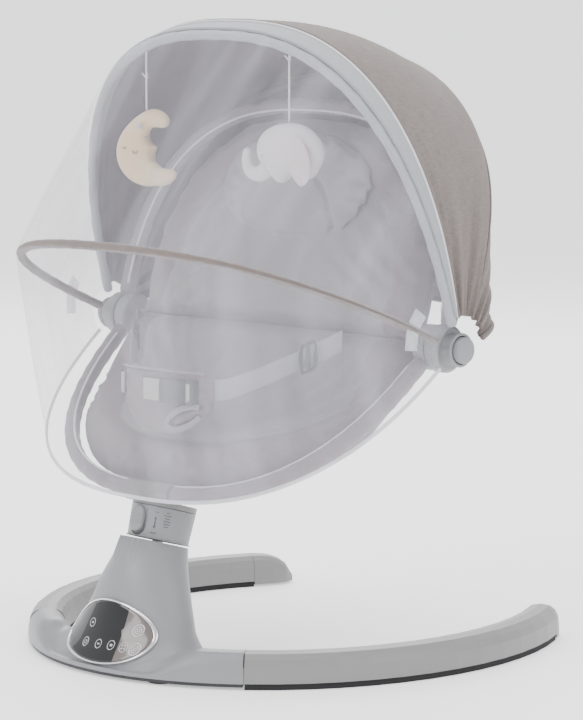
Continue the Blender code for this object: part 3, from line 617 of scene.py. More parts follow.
def loft(name, rings, finish, smooth=True):
    """A closed skin through rings of points, with a fan of faces over each end.
    Cloth places run round each ring and along the rings, in metres."""
    rings = np.asarray(rings, float)
    count, sides = rings.shape[:2]
    points = np.concatenate([rings.reshape(-1, 3), rings[0].mean(0)[None], rings[-1].mean(0)[None]])
    faces = grid_faces(count, sides, loop_columns=True).tolist()
    j = np.arange(sides)
    low = np.stack([(j + 1) % sides, j, np.full(sides, count * sides)], -1)
    high = np.stack([j, (j + 1) % sides, np.full(sides, count * sides + 1) - (count - 1) * sides],
                    -1) + (count - 1) * sides
    along = arc_lengths(rings.mean(1))
    girth = np.linalg.norm(np.diff(rings[count // 2], axis=0, append=rings[count // 2][:1]), axis=-1)
    around = np.concatenate([[0.0], np.cumsum(girth)[:-1]])
    flat = np.stack(np.broadcast_arrays(around[None, :], along[:, None]), -1).reshape(-1, 2)
    flat = np.concatenate([flat, [[0.0, along[0]], [0.0, along[-1]]]])
    return outward(build(name, points, faces + low.tolist() + high.tolist(), finish, flat, smooth))


def hoop(name, rings, finish):
    """A skin through rings that come back to the first one."""
    rings = np.asarray(rings, float)
    count, sides = rings.shape[:2]
    along = np.broadcast_to(np.arange(count)[:, None] * np.linalg.norm(rings[1].mean(0) - rings[0].mean(0)),
                            (count, sides))
    around = np.broadcast_to(np.arange(sides)[None, :] * np.linalg.norm(rings[0][1] - rings[0][0]), (count, sides))
    faces = grid_faces(count, sides, True, True)
    return outward(build(name, rings, faces, finish, np.stack([around, along], -1)))


def shell(name, outer, inner, finish):
    """A closed sheet between two grids of points: both skins and the rim between them.
    Cloth places are the arc lengths over the outer grid."""
    outer, inner = np.asarray(outer, float), np.asarray(inner, float)
    rows, columns = outer.shape[:2]
    total = rows * columns
    faces = [grid_faces(rows, columns), grid_faces(rows, columns, start=total)[:, ::-1]]
    rim = np.concatenate([np.arange(columns), np.arange(1, rows) * columns + columns - 1,
                          total - 2 - np.arange(columns - 1), (np.arange(rows - 2, 0, -1)) * columns])
    following = np.roll(rim, -1)
    faces.append(np.stack([following, rim, rim + total, following + total], -1))
    middle = rows // 2
    across = arc_lengths(outer[middle])
    along = arc_lengths(outer[:, columns // 2])
    flat = np.stack(np.broadcast_arrays(across[None, :] - across[-1] / 2, along[:, None]), -1)
    points = np.concatenate([outer.reshape(-1, 3), inner.reshape(-1, 3)])
    flat = np.concatenate([flat.reshape(-1, 2)] * 2)
    return outward(build(name, points, np.concatenate(faces), finish, flat))


def frames(path, up):
    """Tangent, side and normal of a path whose normal stays near up."""
    tangent = unit(np.gradient(path, axis=0))
    side = unit(np.cross(tangent, up))
    return tangent, side, np.cross(side, tangent)


def tube(name, path, half_wide, half_deep, up, finish, sides=20, power=1.0, round_ends=True):
    """A superellipse section carried along a path; the ends close over a few shrinking rings."""
    path = np.asarray(path, float)
    tangent, side, normal = frames(path, np.asarray(up, float))
    turn = np.linspace(0.0, 2.0 * math.pi, sides, endpoint=False)
    c, s = np.cos(turn), np.sin(turn)
    a = np.sign(c) * np.abs(c) ** power
    b = np.sign(s) * np.abs(s) ** power
    wide, deep = np.broadcast_to(half_wide, len(path)), np.broadcast_to(half_deep, len(path))
    rings = (path[:, None] + (wide[:, None] * a)[..., None] * side[:, None]
             + (deep[:, None] * b)[..., None] * normal[:, None])
    if round_ends:
        caps = np.sin(np.linspace(0.25, math.pi / 2, 5)[:-1])
        low = [path[0] + (rings[0] - path[0]) * f - tangent[0] * min(wide[0], deep[0]) * math.sqrt(1 - f * f) * 0.7
               for f in caps]
        high = [path[-1] + (rings[-1] - path[-1]) * f + tangent[-1] * min(wide[-1],
                                                                          deep[-1]) * math.sqrt(1 - f * f) * 0.7
                for f in caps[::-1]]
        rings = np.concatenate([low, rings, high])
    return loft(name, rings, finish)


def lathe(name, profile, origin, axis, finish, sides=64):
    """A profile of (along, radius) turned about an axis through origin."""
    axis = unit(np.asarray(axis, float))
    side = unit(np.cross(axis, Z if abs(axis[2]) < 0.9 else X))
    up = np.cross(axis, side)
    turn = np.linspace(0.0, 2.0 * math.pi, sides, endpoint=False)
    spoke = np.cos(turn)[:, None] * side + np.sin(turn)[:, None] * up
    rings = [origin + along * axis + max(radius, 1e-5) * spoke for along, radius in profile]
    return loft(name, rings, finish)


def rounded(profile, radius=0.0012, steps=4):
    """Rounds the corners of a (along, radius) profile with short arcs, so that edges catch light."""
    profile = [np.asarray(p, float) for p in profile]
    out = [profile[0]]
    for before, corner, after in zip(profile[:-2], profile[1:-1], profile[2:]):
        first, second = before - corner, after - corner
        room = min(radius, np.linalg.norm(first) * 0.45, np.linalg.norm(second) * 0.45)
        a, b = corner + first / np.linalg.norm(first) * room, corner + second / np.linalg.norm(second) * room
        for t in np.linspace(0.0, 1.0, steps):
            out.append((1 - t) ** 2 * a + 2 * t * (1 - t) * corner + t * t * b)
    return out + [profile[-1]]


def bow_at(bow, turn):
    """A superellipse bow in the plane that leaves the hubs' axis at the bow's angle."""
    half_width, reach, angle = (np.asarray(part, float) for part in bow)
    x = half_width * np.sign(np.cos(turn)) * np.abs(np.cos(turn)) ** (2.0 / BOW_POWER)
    out = reach * np.abs(np.sin(turn)) ** (2.0 / BOW_POWER)
    lean = np.radians(angle)
    return np.stack(np.broadcast_arrays(x, HUB[1] + out * np.cos(lean), HUB[2] + out * np.sin(lean)), -1)


def bow_path(bow, clear, count, shrink=0.0, lift=0.0):
    """Points along a bow, evenly spaced by length, from the near hub over to the other."""
    bow = (bow[0] - shrink, bow[1] - shrink, bow[2])
    start = math.asin((clear / bow[1]) ** (BOW_POWER / 2.0))
    fine = bow_at(bow, np.linspace(start, math.pi - start, 1500))
    length = arc_lengths(fine)
    even = np.linspace(0.0, length[-1], count)
    path = np.stack([np.interp(even, length, fine[:, k]) for k in range(3)], -1)
    return path + lift * pad_normal(bow[2])


def bow_direction(angle):
    return np.array([0.0, math.cos(math.radians(angle)), math.sin(math.radians(angle))])


def pad_normal(angle):
    """The side of a bow's plane that faces the child."""
    lean = math.radians(angle)
    return np.array([0.0, -math.sin(lean), math.cos(lean)]) * (1.0 if angle < 180.0 else -1.0)


def finish_piece(piece, body, name=None, *nodes):
    """Fastens a piece to its body and hides the frame nodes it stands for. The name of its finish is not used."""
    if nodes:
        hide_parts(*nodes)
    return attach(piece, body)


def repaint(node, finish):
    """Gives a frame node a finished material."""
    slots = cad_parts[node].material_slots
    for place in slots:
        place.material = finish


def subdivide(piece, levels=1):
    made = piece.modifiers.new("Smooth skin", "SUBSURF")
    made.levels = levels
    made.render_levels = levels
    made.uv_smooth = "PRESERVE_BOUNDARIES"
    return piece


def apply_modifiers(piece):
    """Writes the modified mesh into the piece."""
    graph = bpy.context.evaluated_depsgraph_get()
    mesh = bpy.data.meshes.new_from_object(piece.evaluated_get(graph))
    piece.modifiers.clear()
    piece.data = mesh
    return piece


def inflate(piece, voxel, cap, pressure, along=None, frames_run=20):
    """Swells a closed skin as stuffed cloth: even remesh, cloth pressure with gravity off,
    and a cap on how far a point may go from where it began. With a direction given, a point keeps
    only its swell along it, as cloth does that is sewn round its outline."""
    scene = bpy.context.scene
    remesh = piece.modifiers.new("Even skin", "REMESH")
    remesh.mode = "VOXEL"
    remesh.voxel_size = voxel
    remesh.use_smooth_shade = True
    apply_modifiers(piece)
    rest = places(piece)
    cloth = piece.modifiers.new("Stuffing", "CLOTH")
    cloth.settings.quality = 5
    cloth.settings.mass = 0.25
    cloth.settings.tension_stiffness = 12.0
    cloth.settings.compression_stiffness = 12.0
    cloth.settings.bending_stiffness = 0.4
    cloth.settings.use_pressure = True
    cloth.settings.uniform_pressure_force = pressure
    cloth.settings.effector_weights.gravity = 0.0
    cloth.collision_settings.use_collision = False
    cloth.point_cache.frame_start = 1
    cloth.point_cache.frame_end = frames_run
    for number in range(1, frames_run + 1):
        scene.frame_set(number)
    apply_modifiers(piece)
    moved = places(piece) - rest
    if along is not None:
        moved = (moved @ along)[:, None] * along
    far = np.linalg.norm(moved, axis=1, keepdims=True)
    put_places(piece, rest + moved * np.minimum(1.0, cap / np.maximum(far, 1e-9)))
    scene.frame_set(1)
    return piece


def skin_normals(piece):
    normals = np.empty(len(piece.data.vertices) * 3)
    piece.data.vertices.foreach_get("normal", normals)
    return normals.reshape(-1, 3)


def near_curve(points, curve):
    """Each point's distance to the nearest point of a curve."""
    best = np.full(len(points), np.inf)
    for start in range(0, len(points), 4000):
        part = points[start:start + 4000]
        best[start:start + 4000] = np.sqrt(((part[:, None] - curve[None]) ** 2).sum(-1).min(1))
    return best


def smoothstep(low, high, value):
    t = np.clip((value - low) / (high - low), 0.0, 1.0)
    return t * t * (3.0 - 2.0 * t)


# ---------------------------------------------------------------- stage
class SWING_OT_stage(bpy.types.Operator):
    """Lays the pale floor and backdrop, soft lights and the camera"""
    bl_idname = "swing.stage"
    bl_label = "Stage"

    def execute(self, context):
        settings = context.scene.swing_stage
        lay_floor(tuple(settings.floor))
        hang_lights(settings.light)
        set_camera(settings.lens)
        return {"FINISHED"}


def lay_floor(tint):
    """A wide sheet: level at z = -0.0003, rising in a quarter-round behind the object."""
    paint = Paint("studio_paper")
    paper = paint.noise(paint.place(), 3.0)
    paint.varies(Base_Color=paint.mix(paper, shade(tint, 0.995), tint), Roughness=paper.to(0.85, 0.9))
    paint.fixed(Specular_IOR_Level=0.1, Emission_Color=(1.0, 1.0, 1.0), Emission_Strength=0.62)
    turn = np.linspace(0.0, math.pi / 2, 24)
    sweep = np.concatenate([np.linspace(-9.0, 4.0, 30)[:-1], 4.0 + 2.5 * np.sin(turn), np.full(12, 6.5)])
    rise = np.concatenate([np.zeros(29), 2.5 - 2.5 * np.cos(turn), np.linspace(2.8, 9.0, 12)])
    across = np.linspace(-11.0, 11.0, 40)
    away = np.array([-math.sin(math.radians(44.0)), math.cos(math.radians(44.0)), 0.0])
    side = np.array([math.cos(math.radians(44.0)), math.sin(math.radians(44.0)), 0.0])
    points = sweep[:, None, None] * away + across[None, :, None] * side + (rise - 0.0003)[:, None, None] * Z
    floor = build("studio_floor", points, grid_faces(len(sweep), len(across))[:, ::-1], paint.material)


def hang_lights(strength):
    """Big soft boxes: key from the camera's left, fill from the right, one above, one behind."""
    world = bpy.data.worlds.new("soft_room")
    world.use_nodes = True
    back = world.node_tree.nodes["Background"]
    back.inputs["Color"].default_value = (0.96, 0.97, 1.0, 1.0)
    back.inputs["Strength"].default_value = 1.05 * strength
    bpy.context.scene.world = world
    boxes = (("key", (-0.6, -3.0, 2.6), 1.8, 60.0), ("fill", (3.0, 0.6, 1.8), 1.8, 26.0),
             ("above", (0.0, 0.2, 3.4), 2.4, 90.0), ("rim", (-2.2, 2.2, 2.2), 1.6, 60.0))
    for name, spot, size, power in boxes:
        lamp = bpy.data.lights.new(name, "AREA")
        lamp.size = size
        lamp.energy = power * strength
        made = bpy.data.objects.new(name, lamp)
        bpy.context.scene.collection.objects.link(made)
        made.location = spot
        aim = unit(np.array([0.0, 0.0, 0.30]) - np.array(spot))
        made.rotation_mode = "QUATERNION"
        made.rotation_quaternion = mathutils.Vector(aim).to_track_quat("-Z", "Y")


def set_camera(lens):
    """The view from the front right, a little above the seat."""
    data = bpy.data.cameras.new("view")
    data.lens = lens
    data.sensor_width = 36.0
    data.clip_start = 0.05
    data.clip_end = 60.0
    camera = bpy.data.objects.new("view", data)
    bpy.context.scene.collection.objects.link(camera)
    camera.location = (2.3048, -2.3376, 0.7115)
    around, above = math.radians(44.0), math.radians(7.004)
    back = mathutils.Vector((math.sin(around) * math.cos(above), -math.cos(around) * math.cos(above),
                             math.sin(above)))
    camera.rotation_mode = "QUATERNION"
    camera.rotation_quaternion = (-back).to_track_quat("-Z", "Y")
    bpy.context.scene.camera = camera


# ---------------------------------------------------------------- base
def outline(turn, inset):
    """A point of the base's elliptical outline, moved inwards along its normal; and that normal."""
    flat = np.stack([0.28 * np.sin(turn), -0.315 * np.cos(turn)], -1)
    normal = unit(flat / np.array([0.28 ** 2, 0.315 ** 2]))
    place = flat - normal * np.asarray(inset)[..., None]
    return place + np.array([0.0, 0.06]), normal


def smooth_table(height, values):
    """A cubic through the column's sizes at its heights."""
    slopes = np.gradient(values, COLUMN_HEIGHTS)
    i = np.clip(np.searchsorted(COLUMN_HEIGHTS, height) - 1, 0, len(COLUMN_HEIGHTS) - 2)
    step = COLUMN_HEIGHTS[i + 1] - COLUMN_HEIGHTS[i]
    t = np.clip((height - COLUMN_HEIGHTS[i]) / step, 0.0, 1.0)
    low = (1 + 2 * t) * (1 - t) ** 2 * values[i] + t * (1 - t) ** 2 * step * slopes[i]
    return low + t * t * (3 - 2 * t) * values[i + 1] - t * t * (1 - t) * step * slopes[i + 1]


def column_inside(place):
    """1 - (x / half width)^2 - (y / half depth)^2 of the oval column at the point's own height."""
    height = np.clip(place[..., 2], COLUMN_HEIGHTS[0], COLUMN_HEIGHTS[-1])
    tilt = LEAN * np.clip((height - 0.078) / (COLUMN_HEIGHTS[-1] - 0.078), 0.0, 1.0) ** 1.5
    front, back = smooth_table(height, COLUMN_FRONT), smooth_table(height, COLUMN_BACK)
    middle = (front + back) / 2
    level = np.clip(height + (place[..., 1] - middle) * np.sin(tilt), COLUMN_HEIGHTS[0], COLUMN_HEIGHTS[-1])
    front, back = smooth_table(level, COLUMN_FRONT), smooth_table(level, COLUMN_BACK)
    middle, deep = (front + back) / 2, (back - front) / 2
    share = 1.0 - (place[..., 0] / smooth_table(level, COLUMN_HALF_WIDTH)) ** 2
    share = share - ((place[..., 1] - middle) / (deep * np.cos(tilt))) ** 2
    top = (place - PIVOT) @ NECK_UP < SLIT_REACH - 0.0003
    return (share > 0.0) & top


def arm_inside(place, normal, origin, crest):
    """Inside the arm's rounded section: |s|^1.25 + |h|^1.33 < 1 over an upright lip."""
    across = np.abs(((place[..., :2] - origin) * normal).sum(-1)) / 0.021
    rise = (place[..., 2] - 0.010) / np.maximum(0.027 * crest, 0.0004)
    return (across < 1.0) & (across ** 2.5 + np.clip(rise, 0.0, None) ** 2.67 < 1.0)


def reach_of(inside, origin, direction, longest=0.19):
    """How far a ray from origin stays inside, by halving the last step again and again."""
    shape = direction.shape[:-1]
    steps = np.linspace(0.004, longest, 90)
    far = np.zeros(shape)
    for step in steps:
        far = np.where(inside(origin + direction * step), step, far)
    near, over = far, far + steps[1] - steps[0]
    for _ in range(12):
        half = (near + over) / 2
        within = inside(origin + direction * half[..., None])
        near, over = np.where(within, half, near), np.where(within, over, half)
    return near


def housing_points(turns, spread):
    """Polar sections across the arm: from the arm's middle on the floor a ray goes out at every
    angle, and its length is the smooth larger one of the arm's and the column's reach."""
    turn, angle = np.meshgrid(turns, spread, indexing="ij")
    floor_place, normal = outline(turn, np.full_like(turn, 0.021))
    origin = np.concatenate([floor_place, np.full(turn.shape + (1,), 0.0068)], -1)
    direction = np.concatenate([normal * np.cos(angle)[..., None], np.sin(angle)[..., None]], -1)
    share = np.clip((np.abs(turn) - math.radians(14.0)) / math.radians(13.0), 0.0, 1.0)
    crest = share * share * (3.0 - 2.0 * share)
    column = reach_of(column_inside, origin, direction)
    arm = reach_of(lambda place: arm_inside(place, normal, floor_place, crest), origin, direction)
    blend = 0.016 * np.sin(angle) * smoothstep(0.06, 0.30, np.abs(turn))
    gap = np.clip(0.5 + (column - arm) / (2 * np.maximum(blend, 1e-6)), 0.0, 1.0)
    longest = arm + (column - arm) * gap + blend * gap * (1.0 - gap)
    longest = np.where(blend < 1e-5, np.maximum(column, arm), longest)
    return origin, direction, longest


def egg(place):
    """The scale of the egg-shaped panel outline that a point lies on, seen from the front."""
    middle, wide, high = PANEL
    rise = (place[..., 2] - middle) / high
    scale = np.hypot(rise, place[..., 0] / wide)
    for _ in range(4):
        scale = np.hypot(rise, place[..., 0] / (wide * (1.0 - 0.20 * np.clip(rise / np.maximum(scale, 1e-6), -1, 1))))
    return scale


class SWING_OT_housing(bpy.types.Operator):
    """Makes the housing: the bell-shaped column flowing into both arms, with a brow over the panel"""
    bl_idname = "swing.housing"
    bl_label = "Housing"

    def execute(self, context):
        turns = np.linspace(-SEAM_ANGLE, SEAM_ANGLE, 301)
        spread = np.linspace(0.0, math.pi, 221)
        origin, direction, longest = housing_points(turns, spread)
        place = origin + direction * longest[..., None]
        scale = egg(place)
        front = smoothstep(-0.185, -0.20, place[..., 1])
        brow = np.exp(-((scale - 1.36) / 0.085) ** 2) * smoothstep(0.034, 0.058, place[..., 2]) * front
        moat = np.exp(-((scale - 1.16) / 0.09) ** 2) * front
        swell = 0.0026 * brow - 0.0007 * moat
        place = place + direction * (swell * smoothstep(1.0, 1.10, scale))[..., None]
        foot = [place[:, 0].copy(), place[:, -1].copy()]
        for line in foot:
            line[:, 2] = 0.0062
        rings = np.concatenate([foot[0][:, None], place, foot[1][:, None]], 1)
        housing = loft("housing_shell", rings, shell_plastic())
        finish_piece(housing, "base", "shell_plastic", "base_housing")
        collar = lathe("column_rim", rounded([(0.0, 0.0260), (0.0, 0.0330), (0.0014, 0.0330), (0.0014, 0.0260)],
                                             0.0006),
                       PIVOT + NECK_UP * (SLIT_REACH - 0.0019), NECK_UP, shell_plastic())
        finish_piece(collar, "base", "shell_plastic")
        return {"FINISHED"}


def leg_rings(turns, first_height, sink=0.0):
    """The leg's section carried round the outline: a flat lip below, a broad rounded crest with a
    soft shoulder line above; towards the tip the section sinks to a thin rounded end."""
    spread = np.linspace(0.0, math.pi, 33)
    rings = []
    for turn in turns:
        tail = smoothstep(math.radians(112.0), math.radians(130.75), turn)
        slim = math.sqrt(max(0.0, 1.0 - tail ** 2.4))
        half = max(0.021 * (1.0 - 0.55 * tail) * (0.08 + 0.92 * slim), 0.0008) - sink
        high = first_height + (0.037 - first_height) * max(slim, 0.10) - sink
        c, s = np.cos(spread), np.sin(spread)
        across = half * np.sign(c) * np.abs(c) ** 0.62
        rise = first_height + 0.004 + (high - first_height - 0.004) * np.abs(s) ** 0.62
        place, _ = outline(np.full(33, turn), 0.021 - across)
        ring = np.concatenate([place, rise[:, None]], -1)
        foot = ring[[-1, 0]].copy()
        foot[:, 2] = first_height
        rings.append(np.concatenate([ring, foot]))
    return np.asarray(rings)


class SWING_OT_base_details(bpy.types.Operator):
    """Paints the base's own parts and adds the leg seams and the power socket's rim"""
    bl_idname = "swing.base_details"
    bl_label = "Base details"

    def execute(self, context):
        for side, word in ((-1.0, "left"), (1.0, "right")):
            repaint(word + "_leg", leg_plastic())
            repaint(word + "_leg_cap", leg_plastic())
            repaint(word + "_leg_tread", rubber())
            repaint("front_foot_" + word, rubber())
            seam = leg_rings(np.linspace(SEAM_ANGLE - 0.0018, SEAM_ANGLE + 0.0022, 3), 0.0064, 0.0006)
            seam[..., 0] *= side
            finish_piece(loft("leg_seam_" + word, seam, dark_plastic()), "base", "dark_plastic")
        # The base cover is a real part, but its dark colour is painted shade: it stands for the shadow line under the
        # base's lifted edge. The speaker and power socket are dark plastic.
        for node in ("base_cover", "speaker", "power_socket"):
            repaint(node, dark_plastic())
        for node in ("pivot_bracket", "bearing_lower", "bearing_upper"):
            repaint(node, steel())
        repaint("control_board", circuit_board())
        repaint("drive_coil", wound_copper())
        low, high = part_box("power_socket")
        spot = np.array([(low[0] + high[0]) / 2, high[1], (low[2] + high[2]) / 2])
        profile = rounded([(0.0, 0.0036), (0.0012, 0.0036), (0.0012, 0.0068), (0.0, 0.0074), (-0.004, 0.0074)],
                          0.0005)
        rim = lathe("socket_rim", [(-0.004, 0.0036)] + [tuple(p) for p in profile], spot, Y, dark_plastic(), 40)
        finish_piece(rim, "base", "dark_plastic")
        return {"FINISHED"}


def panel_spot(x, z, proud):
    """A place on the panel's face: the column's front, pushed out."""
    height = np.asarray(z, float)
    wide = smooth_table(height, COLUMN_HALF_WIDTH)
    front, back = smooth_table(height, COLUMN_FRONT), smooth_table(height, COLUMN_BACK)
    y = (front + back) / 2 - (back - front) / 2 * np.sqrt(np.clip(1.0 - (x / wide) ** 2, 0.0, 1.0)) - proud
    return np.stack(np.broadcast_arrays(np.asarray(x, float), y, height), -1)


def printed_line(name, flat, width, finish, proud=0.0040, place=None):
    """A thin printed line: a flat ribbon carried along points on the face, closed on all sides."""
    flat = np.asarray(flat, float)
    tangent = unit(np.gradient(flat, axis=0))
    side = np.stack([-tangent[:, 1], tangent[:, 0]], -1) * width / 2
    place = place or (lambda p, out: panel_spot(p[:, 0], p[:, 1], out))
    edges = [place(flat + side, proud), place(flat - side, proud),
             place(flat - side, proud - 0.0006), place(flat + side, proud - 0.0006)]
    return loft(name, np.stack(edges, 1), finish, smooth=False)


def circle_line(x, z, radius, low=0.0, high=360.0, count=49):
    turn = np.radians(np.linspace(low, high, count))
    return np.stack([x + radius * np.cos(turn), z + radius * np.sin(turn)], -1)


class SWING_OT_panel(bpy.types.Operator):
    """Finishes the control panel: glossy window, bright rim, rings and plain signs of the touch buttons"""
    bl_idname = "swing.panel"
    bl_label = "Control panel"

    def execute(self, context):
        turn = np.linspace(0.0, 2.0 * math.pi, 160, endpoint=False)
        rise = np.sin(turn)
        middle, wide, high = PANEL

        def loop(scale, proud):
            return panel_spot(wide * scale * np.cos(turn) * (1.0 - 0.20 * rise), middle + high * scale * rise, proud)

        face = [loop(scale, 0.0034 + 0.0002 * (1.0 - scale)) for scale in np.linspace(0.02, 0.955, 26)]
        edge = [loop(0.985, 0.0030), loop(0.992, 0.0024), loop(0.992, 0.0012), loop(0.90, 0.0010), loop(0.02, 0.0010)]
        lens = loft("panel_window", face + edge, panel_gloss())
        finish_piece(lens, "base", "dark_glass", "panel_lens")
        section = np.linspace(0.0, 2.0 * math.pi, 16, endpoint=False)
        rings = [loop(1.030 + 0.032 * math.cos(a), 0.0026 + 0.0017 * math.sin(a)) for a in section]
        bezel = hoop("panel_rim", np.stack(rings, 1), chrome())
        finish_piece(bezel, "base", "chrome", "panel_bezel")
        spots = ((-0.0197, 0.0495, 0.0042), (-0.0203, 0.0305, 0.0042), (0.0001, 0.0311, 0.0042),
                 (0.0178, 0.0320, 0.0044),
                 (0.0340, 0.0318, 0.0048), (0.0430, 0.0487, 0.0056), (0.0475, 0.0309, 0.0056))
        for number, (x, z, radius) in enumerate(spots):
            width = 0.0005 if number < 5 else 0.0008
            self.mark("button_ring_%d" % number, circle_line(x, z, radius), width)
            self.sign(number, x, z, radius * 0.42)
        return {"FINISHED"}

    def mark(self, name, flat, width):
        finish_piece(printed_line(name, flat, width, panel_mark()), "base", "dark_glass")

    def sign(self, number, x, z, r):
        """Plain signs: power arc, speaker wedge, wave, play wedge, dots, dial ring and grid."""
        name = "button_sign_%d" % number
        if number == 1:
            self.mark(name, circle_line(x, z, r, 125.0, 415.0), 0.0005)
            self.mark(name + "_stem", [(x, z + r * 0.3), (x, z + r * 0.8), (x, z + r * 1.3)], 0.0005)
        elif number in (0, 3):
            self.mark(name, [(x - r * 0.6, z), (x, z), (x + r * 0.9, z)], 0.0016 if number == 0 else 0.0020)
        elif number == 2:
            across = np.linspace(-r, r, 15)
            self.mark(name, np.stack([x + across, z + 0.35 * r * np.sin(across / r * 5.0)], -1), 0.0005)
        elif number == 4:
            for k, (dx, dz) in enumerate(((-0.8, 0.7), (0.8, 0.7), (-0.8, -0.7), (0.8, -0.7))):
                self.mark(name + "_%d" % k, circle_line(x + dx * r, z + dz * r, 0.0005, count=13), 0.0007)
        else:
            self.mark(name, circle_line(x, z, r * 1.35), 0.0005)
            self.mark(name + "_in", circle_line(x, z, r * 0.55, 0.0 if number == 5 else 40.0, 360.0), 0.0005)


# ---------------------------------------------------------------- neck and hubs
def along_neck(reach, back=0.0, x=0.0):
    return PIVOT + NECK_UP * reach + NECK_BACK * back + X * x


def neck_skin(flat, proud):
    """A place on the neck: turned by the first number in radians from the front, up by the second."""
    turn, up = flat[:, 0], flat[:, 1]
    radius = NECK_RADIUS + 0.0004 + proud
    return (PIVOT + up[:, None] * NECK_UP + (radius * np.sin(turn))[:, None] * X
            - (radius * np.cos(turn))[:, None] * NECK_BACK)


class SWING_OT_neck(bpy.types.Operator):
    """Paints the neck's shell and makes its lips, the mode slider in its recess and the small printed signs beside it
    """
    bl_idname = "swing.neck"
    bl_label = "Neck and slider"

    def execute(self, context):
        low, high = SLIT_REACH + 0.0020, 0.0985
        repaint("neck_shell", shell_plastic())
        for node in ("sway_spindle", "drive_magnet"):
            repaint(node, steel())
        for node in ("drive_lever", "seat_bracket"):
            repaint(node, leg_plastic())
        for reach, name in ((low + 0.0006, "neck_lip_low"), (high - 0.0008, "neck_lip_high")):
            lip = lathe(name, rounded([(-0.0006, 0.0322), (-0.0006, 0.0344), (0.0006, 0.0344), (0.0006, 0.0322)],
                                      0.0005, 5),
                        along_neck(reach), NECK_UP, shell_plastic())
            finish_piece(lip, "swing", "shell_plastic")
        self.slider()
        self.prints(low, high)
        return {"FINISHED"}

    def slider(self):
        """A stadium: straight sides 10 mm long between half-rounds; domed, with three grip ledges."""
        turn = np.linspace(0.0, 2.0 * math.pi, 64, endpoint=False)
        flat_x = 0.0088 * np.cos(turn)
        flat_z = 0.0088 * np.sin(turn) + 0.0052 * np.clip(np.sin(turn) * 4.0, -1.0, 1.0)
        origin = along_neck(KNOB_REACH, -NECK_RADIUS)
        rings = []
        for scale, out in ((1.0, -0.0014), (1.0, 0.0030), (0.985, 0.0040), (0.94, 0.0048), (0.86, 0.0053),
                           (0.70, 0.0056),
                           (0.50, 0.0058), (0.30, 0.0059), (0.12, 0.0059)):
            rings.append(origin + scale * (flat_x[:, None] * X + flat_z[:, None] * NECK_UP) - out * NECK_BACK)
        knob = loft("mode_slider", rings, shell_plastic())
        finish_piece(knob, "mode_knob", "shell_plastic", "mode_knob")
        for lift in (-0.0042, 0.0, 0.0042):
            across = np.linspace(-0.0058, 0.0058, 15)
            path = origin + across[:, None] * X + lift * NECK_UP - 0.0060 * NECK_BACK
            ledge = tube("slider_grip_%d" % round((lift + 0.0042) * 1000), path, 0.0007, 0.0005, -NECK_BACK,
                         shell_plastic(), 12)
            finish_piece(ledge, "mode_knob", "shell_plastic")
        size = 0.0102 / NECK_RADIUS
        flat = np.stack([size * np.cos(turn), KNOB_REACH + 0.0102 * np.sin(turn)
                         + 0.0058 * np.clip(np.sin(turn) * 4.0, -1.0, 1.0)], -1)
        flat = np.concatenate([flat, flat[:1]])
        # Painted shade: the recess is not cut into the neck; this thin dark line round the slider stands for the
        # recess's wall in shade.
        recess = printed_line("slider_recess_shade_line", flat, 0.0009, dark_plastic(), 0.0003, neck_skin)
        finish_piece(recess, "swing", "dark_plastic")

    def prints(self, low, high):
        """An up-and-down arrow and short plain lines in place of wording."""
        rows = [(0.60, high - 0.0060, 0.0060), (0.60, low + 0.0060, 0.0066)]
        rows += [(0.96, high - 0.0050 - 0.0030 * k, (0.0060, 0.0085, 0.0050, 0.0080, 0.0070,
                                                     0.0045)[k]) for k in range(6)]
        for number, (turn, up, length) in enumerate(rows):
            across = np.linspace(-0.5, 0.5, 7) * length / NECK_RADIUS
            flat = np.stack([turn + across, np.full(7, up)], -1)
            self.ink("neck_line_%d" % number, flat)
        middle = (low + high) / 2
        ups = np.linspace(-0.0050, 0.0050, 7)
        self.ink("neck_arrow", np.stack([np.full(7, 0.60), middle + ups], -1))
        for side in (-1.0, 1.0):
            tip = middle + side * 0.0056
            head = [(0.60 - 0.035, tip - side * 0.0016), (0.60, tip), (0.60 + 0.035, tip - side * 0.0016)]
            self.ink("neck_arrow_head_%d" % (side > 0), head)

    def ink(self, name, flat):
        flat = np.asarray(flat, float)
        tangent = unit(np.gradient(flat * np.array([NECK_RADIUS, 1.0]), axis=0))
        side = np.stack([-tangent[:, 1] / NECK_RADIUS, tangent[:, 0]], -1) * 0.00028
        edges = [neck_skin(flat + side, 0.0003), neck_skin(flat - side, 0.0003),
                 neck_skin(flat - side, -0.0003), neck_skin(flat + side, -0.0003)]
        finish_piece(loft(name, np.stack(edges, 1), dark_mark(), smooth=False), "swing", "shell_plastic")


